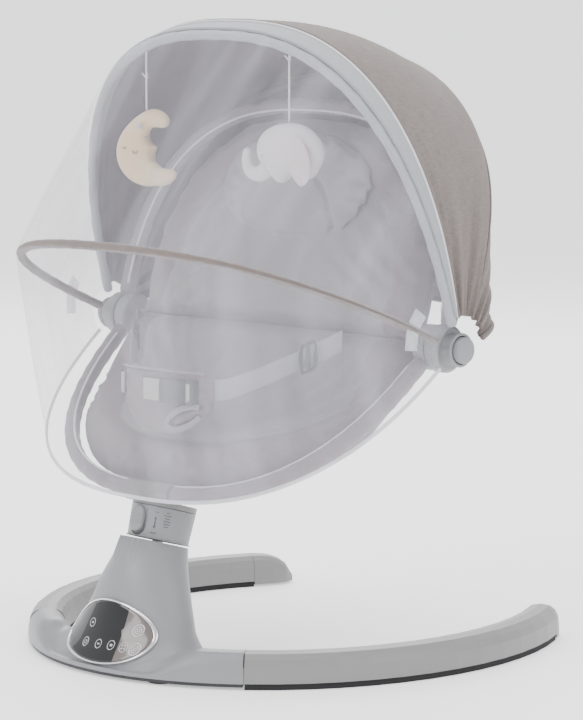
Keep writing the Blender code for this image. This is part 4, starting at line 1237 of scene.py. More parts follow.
class SWING_OT_hubs(bpy.types.Operator):
    """Makes the waisted hub pods, their round release caps and dark seams"""
    bl_idname = "swing.hubs"
    bl_label = "Hubs"

    def execute(self, context):
        for side, word in ((-1.0, "left"), (1.0, "right")):
            axis = X * side
            inner = rounded([(0.2195, 0.004), (0.2195, 0.0215), (0.2210, 0.0240), (0.2350, 0.0240), (0.2364, 0.0225),
                             (0.2364, 0.004)], 0.0022, 6)
            outer = rounded([(0.2370, 0.005), (0.2370, 0.0235), (0.2386, 0.0252), (0.2500, 0.0252), (0.2534, 0.0215),
                             (0.2538, 0.0165), (0.2640, 0.0158), (0.2652, 0.0180), (0.2685, 0.0180), (0.2688, 0.0148),
                             (0.2640, 0.0144), (0.2640, 0.005)], 0.0012, 5)
            cap = rounded([(0.2655, 0.003), (0.2655, 0.0139), (0.2738, 0.0139), (0.2752, 0.0126), (0.2756, 0.0070),
                           (0.2757, 0.0)], 0.0010, 5)
            finish_piece(lathe("hub_disc_inner_" + word, inner, HUB * (0, 1, 1), axis, shell_plastic(), 96), "swing",
                         "shell_plastic", "hub_inner_" + word)
            finish_piece(lathe("hub_disc_outer_" + word, outer, HUB * (0, 1, 1), axis, shell_plastic(), 96),
                         "backrest",
                         "shell_plastic", "hub_outer_" + word)
            finish_piece(lathe("release_cap_" + word, cap, HUB * (0, 1, 1), axis, shell_plastic(), 96),
                         "recline_button_" + word, "shell_plastic", "recline_button_" + word)
            seam = rounded([(0.2362, 0.0200), (0.2362, 0.0236), (0.2373, 0.0236), (0.2373, 0.0200)], 0.0003, 3)
            finish_piece(lathe("hub_seam_" + word, seam, HUB * (0, 1, 1), axis, dark_plastic(), 96), "swing",
                         "dark_plastic")
            repaint("hub_pin_" + word, steel())
        return {"FINISHED"}


# ---------------------------------------------------------------- seat
def pad_points(bow, half_width, start, reach, heights, edge, columns, rows):
    """Points over the inside of a bow. Across is sin-spaced, out runs from start to the bow's edge
    at that width, and the lift is the table's, falling to edge at the rim by rim^0.45."""
    share_x = np.sin(np.linspace(-1.0, 1.0, columns) * math.asin(0.972))
    x, v = np.meshgrid(share_x, np.linspace(0.0, 1.0, rows), indexing="ij")
    extent = reach * (1.0 - np.abs(x) ** BOW_POWER) ** (1.0 / BOW_POWER)
    out = start + (extent - start) * v
    t = np.clip(out / reach, 0.0, 1.0) * (len(heights) - 1)
    i = np.minimum(t.astype(int), len(heights) - 2)
    table = np.asarray(heights)
    slopes = np.gradient(table)
    f = t - i
    lift = ((1 + 2 * f) * (1 - f) ** 2 * table[i] + f * (1 - f) ** 2 * slopes[i]
            + f * f * (3 - 2 * f) * table[i + 1] - f * f * (1 - f) * slopes[i + 1])
    rim = np.clip(1.0 - np.maximum(np.abs(x), 0.999 * out / (extent + 1e-9)) ** 2, 0.0, 1.0)
    lift = edge + (lift - edge) * rim ** 0.45
    place = HUB + x[..., None] * half_width * X + out[..., None] * bow_direction(bow[2])
    return place + lift[..., None] * pad_normal(bow[2])


def flat_of(piece, angle):
    """Lays the piece's cloth places flat on a bow's plane: across and out from the hubs."""
    co = places(piece) - HUB
    lay_cloth(piece, np.stack([co[:, 0], co @ bow_direction(angle) + 0.6 * (co @ pad_normal(angle))], -1))


def stitched_cord(name, curve, radius, finish, body, slot, up=Z):
    piece = tube(name, curve, radius, radius, up, finish, 10)
    return finish_piece(piece, body, slot)


class SWING_OT_seat_edges(bpy.types.Operator):
    """Makes the fabric sleeves over the seat's two tubes, with pale piping on the child's side"""
    bl_idname = "swing.seat_edges"
    bl_label = "Seat edges"

    def execute(self, context):
        for bow, body, node, name in ((FRONT_TUBE, "swing", "seat_front_tube", "front"),
                                      (BACK_TUBE, "backrest", "backrest_tube", "back")):
            path = bow_path(bow, 0.0275, 150)
            along = arc_lengths(path)
            puckers = 0.00035 * np.sin(along * 260.0) + 0.0002 * np.sin(along * 611.0)
            sleeve = tube(name + "_sleeve", path, 0.0083 + puckers, 0.0090 + puckers, pad_normal(bow[2]),
                          seat_linen(), 24)
            finish_piece(sleeve, body, "seat_linen", node)
            piping = bow_path(bow, 0.036, 150, 0.0058, 0.0066)
            stitched_cord(name + "_piping", piping, 0.0013, white_piping(), body, "seat_liner", pad_normal(bow[2]))
        return {"FINISHED"}


class SWING_OT_seat_pads(bpy.types.Operator):
    """Makes the padded seat and back, swollen as stuffed cloth, with sewn channels and a curved rim seam"""
    bl_idname = "swing.seat_pads"
    bl_label = "Seat and back pads"

    def execute(self, context):
        upper = (0.002, 0.018, -0.008, -0.024, -0.012, 0.002, 0.018, 0.022, 0.006)
        lower = (-0.008, -0.026, -0.044, -0.054, -0.052, -0.046, -0.036, -0.022, -0.008)
        near = (0.022, 0.012, 0.003, -0.003, -0.007, -0.007, -0.001)
        far = (-0.008, -0.015, -0.023, -0.027, -0.027, -0.021, -0.008)
        for name, bow, start, reach, top, under, body, node in (
                ("seat_pad", FRONT_TUBE, -0.016, 0.2325, upper, lower, "swing", "seat_lower"),
                ("back_pad", BACK_TUBE, 0.004, 0.2400, near, far, "backrest", "seat_upper")):
            above = pad_points(bow, PAD_HALF_WIDTH, start, reach, top, 0.002, 61, 41)
            below = pad_points(bow, PAD_HALF_WIDTH, start, reach, under, -0.003, 61, 41)
            pad = shell(name, above, below, seat_liner())
            inflate(pad, 0.0055, 0.007, fabrics().puff, pad_normal(bow[2]))
            self.sew(pad, bow, reach)
            apply_modifiers(subdivide(pad))
            self.creases(pad, bow)
            flat_of(pad, bow[2])
            self.rim_tone(pad, bow, reach)
            finish_piece(pad, body, "seat_liner", node)
        return {"FINISHED"}

    def sew(self, pad, bow, reach):
        """Long channels fan out from the hub line to the rim; the rim seam runs parallel to the tube."""
        normal = pad_normal(bow[2])
        seam = bow_at((PAD_HALF_WIDTH * RIM_SEAM_WIDTH, reach * RIM_SEAM_REACH, bow[2]), np.linspace(0.12, math.pi - 0.12, 240))
        co = places(pad)
        flat = co - HUB
        side = np.sign((skin_normals(pad) @ normal))
        plane = co - (flat @ normal)[:, None] * normal
        far = near_curve(plane, seam)
        groove = 0.0036 * np.exp(-(far / 0.0050) ** 2)
        x, out = flat[:, 0], flat @ bow_direction(bow[2])
        turn = np.arctan2(out, x)
        inner = smoothstep(0.02, 0.05, out) * smoothstep(0.004, 0.018, far)
        waves = 0.0016 * (np.abs(np.sin(turn * (9.0 if bow[2] < 180 else 7.0))) - 0.6)
        put_places(pad, co + skin_normals(pad) * ((waves * inner - groove) * (side > 0))[:, None])

    def creases(self, pad, bow):
        """Soft folds of slack cloth: slanting sine ripples that die out away from the corners."""
        co = places(pad)
        flat = co - HUB
        x, out = flat[:, 0], flat @ bow_direction(bow[2])
        corner = np.exp(-((np.abs(x) - 0.13) / 0.05) ** 2) * np.exp(-((out - 0.07) / 0.06) ** 2)
        ripple = np.sin(x * 150.0 * np.sign(x) + out * 210.0 + 0.8 * np.sin(out * 90.0))
        fine = np.sin(x * 420.0 + np.sin(out * 170.0) * 2.0) * 0.25
        put_places(pad, co + skin_normals(pad) * (0.0019 * corner * (ripple + fine))[:, None])

    def rim_tone(self, pad, bow, reach):
        """Faces outside the rim seam take the outer linen."""
        pad.data.materials.append(seat_linen())
        centre = np.empty(len(pad.data.polygons) * 3)
        pad.data.polygons.foreach_get("center", centre)
        flat = centre.reshape(-1, 3) - HUB
        x = np.abs(flat[:, 0]) / (PAD_HALF_WIDTH * RIM_SEAM_WIDTH)
        out = (flat @ bow_direction(bow[2])) / (reach * RIM_SEAM_REACH)
        outside = (x ** BOW_POWER + np.clip(out, 0, None) ** BOW_POWER) > 1.0
        pad.data.polygons.foreach_set("material_index", outside.astype(int))
        pad.data.update()


class SWING_OT_head_pillow(bpy.types.Operator):
    """Makes the arched head pillow: a padded horseshoe round an inner oval, seamed along its foot"""
    bl_idname = "swing.head_pillow"
    bl_label = "Head pillow"

    def execute(self, context):
        u, v = np.meshgrid(np.linspace(-1.0, 1.0, 61), np.linspace(-1.0, 1.0, 45), indexing="ij")
        bend = np.sqrt(1.0 - 0.5 * v ** 2)
        rise = np.sqrt(1.0 - 0.5 * u ** 2)
        x = 0.114 * u * bend * (1.0 + 0.02 * v)
        out = 0.160 + 0.068 * v * rise
        rim = np.clip((1.0 - u ** 4) * (1.0 - v ** 4), 0.0, 1.0)
        place = HUB + x[..., None] * X + out[..., None] * bow_direction(BACK_TUBE[2])
        normal = pad_normal(BACK_TUBE[2])
        front = place + (0.0045 + 0.0075 * rim ** 0.5)[..., None] * normal
        back = place + (0.0025 - 0.001 * rim)[..., None] * normal
        pillow = shell("head_pillow_pad", front, back, seat_liner())
        inflate(pillow, 0.0042, 0.006, fabrics().puff)
        turn = np.linspace(-0.16, math.pi + 0.16, 160)
        oval = (HUB + (0.066 * np.cos(turn))[:, None] * X
                + (PILLOW_MIDDLE + 0.062 * np.sin(turn))[:, None] * bow_direction(BACK_TUBE[2]))
        oval = oval + 0.016 * normal
        apply_modifiers(subdivide(pillow))
        co = places(pillow)
        plane = co - ((co - HUB) @ normal - 0.016)[:, None] * normal
        facing = (skin_normals(pillow) @ normal) > 0.0
        deep = 0.0045 * np.exp(-(near_curve(plane, oval) / 0.0032) ** 2)
        foot = np.exp(-(((co - HUB) @ bow_direction(BACK_TUBE[2]) - 0.104) / 0.0028) ** 2) * 0.0030
        x, out = co[:, 0], (co - HUB) @ bow_direction(BACK_TUBE[2])
        gather = (0.0009 * np.sin(np.arctan2(out - PILLOW_MIDDLE, x) * 34.0)
                  * np.exp(-((np.hypot(x / 0.098, (out - PILLOW_MIDDLE) / 0.092) - 1.0) / 0.16) ** 2))
        put_places(pillow, co + skin_normals(pillow) * ((gather - deep - foot) * facing)[:, None])
        flat_of(pillow, BACK_TUBE[2])
        finish_piece(pillow, "backrest", "seat_liner", "head_pillow")
        return {"FINISHED"}


# ---------------------------------------------------------------- harness
class SWING_OT_harness(bpy.types.Operator):
    """Makes the stuffed crotch pad with its leg loop, the pale patch, the side-release buckle and the waist straps"""
    bl_idname = "swing.harness"
    bl_label = "Harness"

    def execute(self, context):
        self.pad()
        self.buckle()
        self.straps()
        return {"FINISHED"}

    def front(self, x, z, out=0.0):
        """A place in front of the curved waist pad, whose face bends back as 4.2 x^2."""
        x = np.asarray(x, float)
        y = CROTCH_Y + 4.2 * x * x - 0.0105 - out
        return np.stack(np.broadcast_arrays(x, y, np.asarray(z, float)), -1)

    def pad(self):
        """A rounded rectangle outline carried over the bend, pinched to a narrower stem at its foot."""
        u, v = np.meshgrid(np.linspace(-1.0, 1.0, 57), np.linspace(-1.0, 1.0, 41), indexing="ij")
        half = 0.067 * (1.0 - 0.50 * smoothstep(-0.15, -1.0, v)) * (1.0 - 0.10 * smoothstep(0.7, 1.0, v))
        x = half * u * np.sqrt(1.0 - 0.10 * v ** 8)
        z = 0.2795 + 0.0375 * v * np.sqrt(1.0 - 0.22 * u ** 6)
        rim = np.clip((1.0 - u ** 6) * (1.0 - v ** 6), 0.0, 1.0) ** 0.5
        bend = CROTCH_Y + 4.2 * x * x
        front = np.stack([x, bend - 0.0005 - 0.0075 * rim, z], -1)
        back = np.stack([x, bend + 0.0005 + 0.0045 * rim, z], -1)
        pad = shell("waist_pad", front, back, seat_linen())
        inflate(pad, 0.0035, 0.005, fabrics().puff)
        apply_modifiers(subdivide(pad))
        co = places(pad)
        loop = self.loop_line(0.0)
        facing = skin_normals(pad)[:, 1] < 0.1
        far = near_curve(co[:, (0, 2)], loop[:, (0, 2)])
        crease = 0.0009 * np.sin(co[:, 2] * 420.0 + co[:, 0] * 130.0) * smoothstep(0.03, 0.06, np.abs(co[:, 0]))
        top = np.exp(-((co[:, 2] - 0.3105) / 0.0020) ** 2) * 0.0022
        put_places(pad, co + skin_normals(pad)
                   * ((crease - 0.0030 * np.exp(-(far / 0.004) ** 2) - top) * facing)[:, None])
        lay_cloth(pad, places(pad)[:, (0, 2)])
        finish_piece(pad, "swing", "seat_linen", "crotch_pad")
        line = self.loop_line(0.0022)
        finish_piece(tube("leg_loop_edge", line, 0.0034, 0.0016, -Y, seat_liner(), 16), "swing", "seat_liner")
        across = np.linspace(-0.060, 0.060, 70)
        top_line = self.front(across, 0.3128 - 0.5 * across ** 2, 0.0)
        finish_piece(tube("waist_pad_piping", top_line, 0.0013, 0.0013, -Y, seat_liner(), 12), "swing", "seat_liner")

    def loop_line(self, out):
        """The leg opening's edge: an oval leaning up to the outer corner."""
        turn = np.linspace(0.35, 5.6, 90)
        a, b = 0.0210 * np.cos(turn), 0.0095 * np.sin(turn)
        x = 0.0400 + a * 0.90 - b * 0.44
        z = 0.2640 + a * 0.44 + b * 0.90
        return self.front(x, z, out)

    def buckle(self):
        """A side-release buckle: a bowed body with a raised frame, a slot with its strap and two prongs."""
        def plate(name, x0, x1, z_half, thick, out, finish, power=0.35, bow=0.0, rows=25):
            across = np.linspace(x0, x1, rows)
            middle, half = (x0 + x1) / 2, (x1 - x0) / 2
            s = (across - middle) / half
            tall = z_half * (1.0 + bow * (1.0 - s ** 2)) * np.sqrt(1.0 - 0.12 * s ** 8)
            turn = np.linspace(0.0, 2.0 * math.pi, 40, endpoint=False)
            c, q = np.cos(turn), np.sin(turn)
            a, b = np.sign(c) * np.abs(c) ** power, np.sign(q) * np.abs(q) ** power
            edge = np.sqrt(np.clip(1.0 - np.abs(s) ** 10, 0.02, 1.0))
            rings = self.front(across[:, None], BUCKLE_HEIGHT + tall[:, None] * a[None, :],
                               out + (thick / 2 * edge)[:, None] * (1.0 + b[None, :]))
            return finish_piece(loft(name, rings, finish), "swing",
                                "buckle_plastic" if finish is buckle_plastic() else "webbing")

        body = plate("buckle_body", 0.0130, 0.0475, 0.0118, 0.0056, 0.0012, buckle_plastic(), 0.35, 0.06)
        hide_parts("buckle")
        plate("buckle_head", 0.0450, 0.0550, 0.0136, 0.0068, 0.0006, buckle_plastic(), 0.3)
        plate("buckle_frame_low", 0.0150, 0.0180, 0.0108, 0.0016, 0.0062, buckle_plastic(), 0.5)
        plate("buckle_frame_high", 0.0400, 0.0425, 0.0112, 0.0016, 0.0062, buckle_plastic(), 0.5)
        for lift in (-0.0085, 0.0085):
            across = np.linspace(0.0180, 0.0405, 24)
            rail = tube("buckle_rail_%d" % (lift > 0), self.front(across, BUCKLE_HEIGHT + lift, 0.0066), 0.0012, 0.0009, -Y,
                        buckle_plastic(), 12)
            finish_piece(rail, "swing", "buckle_plastic")
        plate("buckle_slot_strap", 0.0472, 0.0512, 0.0092, 0.0014, 0.0066, pale_patch(), 0.3)
        plate("waist_patch", -0.0150, 0.0135, 0.0115, 0.0016, 0.0010, pale_patch(), 0.2)
        plate("waist_patch_left", -0.0700, -0.0600, 0.0112, 0.0030, -0.0010, pale_patch(), 0.3)
        ring = plate("loop_left", -0.0740, -0.0690, 0.0128, 0.0036, -0.0010, buckle_plastic(), 0.3)
        return ring

    def straps(self):
        """Flat webbing from the pad's ends up to the seat's sides, each through an adjuster ring."""
        for side, word in ((-1.0, "left"), (1.0, "right")):
            knots = np.array([(0.0560, -0.1375, 0.2925), (0.0710, -0.1260, 0.2940), (0.0920, -0.1040, 0.3040),
                              (0.1160, -0.0800, 0.3180), (0.1360, -0.0580, 0.3310), (0.1560, -0.0360, 0.3450)])
            knots[:, 0] *= side
            path = smooth_path(knots, 90)
            level = unit(np.cross(unit(np.gradient(path, axis=0)), Z))
            turn = np.linspace(0.0, 2.0 * math.pi, 28, endpoint=False)
            c, s = np.cos(turn), np.sin(turn)
            tall = np.sign(c) * np.abs(c) ** 0.3
            flat = np.sign(s) * np.abs(s) ** 0.5
            twist = 0.25 * np.sin(np.linspace(0.0, 3.0, 90)) * side
            up = np.cos(twist)[:, None] * Z + np.sin(twist)[:, None] * level
            rings = path[:, None] + 0.0112 * tall[None, :, None] * up[:, None] + 0.0009 * flat[None, :,
                                                                                               None] * level[:, None]
            finish_piece(loft("waist_strap_%s_web" % word, rings, webbing()), "swing", "webbing", "waist_strap_"
                         + word)
            at = 66
            centre, along, across = path[at], unit(path[at + 1] - path[at - 1]), level[at]
            corner = np.linspace(0.0, 2.0 * math.pi, 64, endpoint=False)
            wide = 0.0085 * np.sign(np.cos(corner)) * np.abs(np.cos(corner)) ** 0.5
            high = 0.0150 * np.sign(np.sin(corner)) * np.abs(np.sin(corner)) ** 0.5
            line = centre + wide[:, None] * along + high[:, None] * Z + (0.0030 - 0.004 * (side < 0)) * across
            spoke = unit(line - centre)
            small = np.linspace(0.0, 2.0 * math.pi, 12, endpoint=False)
            rings = (line[:, None] + 0.0021 * np.cos(small)[None, :, None] * spoke[:, None]
                     + 0.0019 * np.sin(small)[None, :, None] * across)
            finish_piece(hoop("adjuster_" + word, rings, buckle_plastic()), "swing", "buckle_plastic")
            rung = np.linspace(-0.0142, 0.0142, 20)[:, None] * Z + centre + 0.0030 * across
            finish_piece(tube("adjuster_rung_" + word, rung, 0.0020, 0.0016, across, buckle_plastic(), 12), "swing",
                         "buckle_plastic")


def smooth_path(knots, count):
    """A path through knots: cubic pieces with the slopes of the neighbours, evenly spaced."""
    knots = np.asarray(knots, float)
    place = np.concatenate([[0.0], np.cumsum(np.linalg.norm(np.diff(knots, axis=0), axis=1))])
    slopes = np.gradient(knots, place, axis=0)
    fine = np.linspace(0.0, place[-1], count)
    i = np.clip(np.searchsorted(place, fine) - 1, 0, len(place) - 2)
    step = (place[i + 1] - place[i])[:, None]
    t = ((fine - place[i]) / step[:, 0])[:, None]
    return ((1 + 2 * t) * (1 - t) ** 2 * knots[i] + t * (1 - t) ** 2 * step * slopes[i]
            + t * t * (3 - 2 * t) * knots[i + 1] - t * t * (1 - t) * step * slopes[i + 1])


# ---------------------------------------------------------------- canopy and net
def hood(stations, columns, rows, clear=0.036, shrink=0.0, ripple=None):
    """A skin through bows. Each row is the superellipse of a half width, reach and angle read from
    smooth tables, its points evenly spaced by length; ripple adds a push along the bow's own radius."""
    table = np.asarray(stations, float)
    key = np.arange(len(table))
    share = np.linspace(0.0, len(table) - 1, rows)
    values = smooth_path(np.column_stack([key, table]), 2000) if len(table) > 2 else None
    grid = []
    for number, s in enumerate(share):
        if values is None:
            half, reach, angle = table[0] + (table[1] - table[0]) * s
        else:
            half, reach, angle = (np.interp(s, values[:, 0], values[:, k]) for k in (1, 2, 3))
        path = bow_path((half, reach, angle), clear, columns, shrink)
        if ripple is not None:
            spoke = unit(path - HUB * (0, 1, 1) - path * (1, 0, 0) * 0.15)
            path = path + ripple(number / (rows - 1), np.linspace(-1.0, 1.0, columns))[:, None] * spoke
        grid.append(path)
    return np.asarray(grid)


class SWING_OT_canopy(bpy.types.Operator):
    """Makes the canopy: one curved melange sheet with welts and folds, its lining, and the silver front band"""
    bl_idname = "swing.canopy"
    bl_label = "Canopy"

    def execute(self, context):
        stations = [(0.2700, 0.3432, 101.5), (0.2700, 0.3418, 96.0), (0.2700, 0.3350, 86.0), (0.2700, 0.3250, 76.0),
                    (0.2700, 0.3130, 66.3)]
        stations += [(0.2700, 0.1275 / math.cos(math.radians(angle)), angle) for angle in (56.0, 46.0, 36.0, 26.0,
                                                                                           16.0)]

        def folds(down, across):
            """Creases fan out from the hubs and fade towards the crown; between the bows the sheet sags."""
            edge = smoothstep(0.50, 1.0, np.abs(across))
            fan = np.sin(down * 31.0 + across * 5.0) * 0.0024 + np.sin(down * 73.0 - across * 9.0) * 0.0009
            sag = -0.0028 * np.sin(math.pi * np.clip(down / 0.45, 0.0, 1.0)) * (1.0 - 0.6 * np.abs(across))
            back = 0.0016 * np.sin(across * 21.0 + down * 7.0) * smoothstep(0.5, 0.9, down)
            return fan * edge + sag + back

        outer = hood(stations, 121, 96, ripple=folds)
        inner = hood(stations, 121, 96, shrink=0.0018, ripple=folds)
        sheet = shell("canopy_sheet", outer, inner, canopy_melange())
        sheet.data.materials.append(lining())
        half = len(grid_faces(96, 121))
        index = np.zeros(len(sheet.data.polygons), int)
        index[half:2 * half] = 1
        sheet.data.polygons.foreach_set("material_index", index)
        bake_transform(sheet)
        width, length = arc_lengths(outer[10])[-1], arc_lengths(outer[:, 60])[-1]
        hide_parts("canopy_fabric")
        self.band()
        self.welts(outer)
        self.rear(outer)
        return {"FINISHED"}

    def band(self):
        """The front bow's sleeve: a silver band inside, a pale edge line and a dark welt outside."""
        path = bow_path(CANOPY_BOW, 0.029, 200)
        along = arc_lengths(path)
        gather = 0.0003 * np.sin(along * 180.0) + 0.00016 * np.sin(along * 470.0)
        plane = pad_normal(CANOPY_BOW[2])
        sleeve = tube("canopy_front_sleeve", path, 0.0052 + gather, 0.0052 + gather, plane, band_fabric(), 20)
        finish_piece(sleeve, "canopy", "canopy_melange", "canopy_front_bow")
        rim = [(0.2698, 0.3434, 105.9), (0.2700, 0.3436, 101.3)]
        finish_piece(shell("canopy_silver_band", hood(rim, 161, 9), hood(rim, 161, 9, shrink=0.0036), band_fabric()),
                     "canopy", "canopy_melange")
        edge = bow_path((0.2704, 0.3442, 101.5), 0.036, 200)
        finish_piece(tube("canopy_edge_piping", edge, 0.0013, 0.0013, plane, white_piping(), 10), "canopy",
                     "canopy_melange")
        welt = bow_path((0.2706, 0.3442, 100.9), 0.036, 200)
        finish_piece(tube("canopy_dark_welt", welt, 0.0016, 0.0016, plane, brown_piping(), 10), "canopy",
                     "canopy_melange")

    def welts(self, outer):
        """Raised seams over the sheet: along the rear bow, and short ones that rise from each hub."""
        row = 44
        finish_piece(tube("canopy_rear_welt", outer[row] + 0.0004 * unit(outer[row] - HUB), 0.0016, 0.0011, -Y,
                          brown_piping(), 10),
                     "backrest", "canopy_melange")
        for side, word in ((0, "left"), (1, "right")):
            columns = 6 if side == 0 else 114
            seam = outer[40:80, columns]
            out = X * (1.0 if side else -1.0)
            finish_piece(tube("canopy_side_welt_" + word, seam + 0.0006 * out, 0.0014, 0.0010, out, brown_piping(),
                              10),
                         "backrest", "canopy_melange")

    def rear(self, outer):
        """The rear bow's fabric sleeve and the hem along the canopy's lower back edge."""
        path = bow_path(REAR_BOW, 0.031, 140)
        finish_piece(tube("canopy_rear_sleeve", path, 0.0050, 0.0050, pad_normal(REAR_BOW[2]), lining(), 16),
                     "backrest",
                     "canopy_melange", "canopy_rear_bow")
        hem = outer[-1]
        finish_piece(tube("canopy_hem", hem, 0.0022, 0.0030, -Y, canopy_melange(), 12), "backrest", "canopy_melange")


class SWING_OT_net(bpy.types.Operator):
    """Makes the see-through net above and below its bow, the bow's sleeve, hem and clear side strips"""
    bl_idname = "swing.net"
    bl_label = "Net"

    def execute(self, context):
        upper = self.taut((0.2685, 0.3420, 107.2), (0.2640, 0.2835, 156.8))
        lower = self.taut((0.2640, 0.2830, 157.8), (0.2600, 0.2640, 217.3))

        def drape(down, across):
            """Long soft folds that run from the bow down, deepest midway and near the hubs."""
            side = 0.4 + 0.6 * np.abs(across)
            fold = np.sin(across * 13.0 + down * 1.4) * 0.0018 + np.sin(across * 31.0 - down * 2.3) * 0.0007
            return fold * side * np.sin(math.pi * down)

        for name, stations in (("net_upper", upper), ("net_lower", lower)):
            outer = hood(stations, 101, 56, clear=0.030, ripple=drape)
            inner = hood(stations, 101, 56, clear=0.030, shrink=0.0004, ripple=drape)
            sheet = shell(name + "_mesh", outer, inner, net_mesh())
            width, length = arc_lengths(outer[8])[-1], arc_lengths(outer[:, 50])[-1]
            if name == "net_upper":
                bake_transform(sheet)
                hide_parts(name)
            else:
                finish_piece(sheet, "net", "net_mesh", name)
            if name == "net_lower":
                hem = tube("net_hem_cord", outer[-1], 0.0016, 0.0022, Z, net_hem(), 10)
                finish_piece(hem, "net", "net_mesh")
            self.strips(name, outer)
        path = bow_path(NET_BOW, 0.029, 180)
        along = arc_lengths(path)
        gather = 0.0002 * np.sin(along * 240.0)
        sleeve = tube("net_bow_sleeve", path, 0.0052 + gather, 0.0048 + gather, pad_normal(NET_BOW[2]),
                      canopy_melange(), 20)
        finish_piece(sleeve, "net", "canopy_melange", "net_bow")
        return {"FINISHED"}

    def taut(self, first, last):
        """Stations between two bows whose reach follows the straight chord from one to the other."""
        share = np.linspace(0.0, 1.0, 9)
        span = math.radians(last[2] - first[2])
        fall = first[1] * np.sin(span * share) + last[1] * np.sin(span * (1.0 - share))
        return np.stack([first[0] + (last[0] - first[0]) * share, first[1] * last[1] * math.sin(span) / fall,
                         first[2] + (last[2] - first[2]) * share], -1)

    def strips(self, name, outer):
        """Clear tape let into the net beside each hub."""
        for side, column in ((0, 5), (1, 95)):
            rows = (outer[40:54] if name == "net_upper" else outer[2:18])[:, column - 1:column + 2]
            out = X * (1.0 if side else -1.0) * 0.0006
            strip = shell("%s_strip_%d" % (name, side), rows + out, rows + out * 0.4, clear_strip())
            finish_piece(strip, "net" if name == "net_lower" else "canopy", "net_mesh")


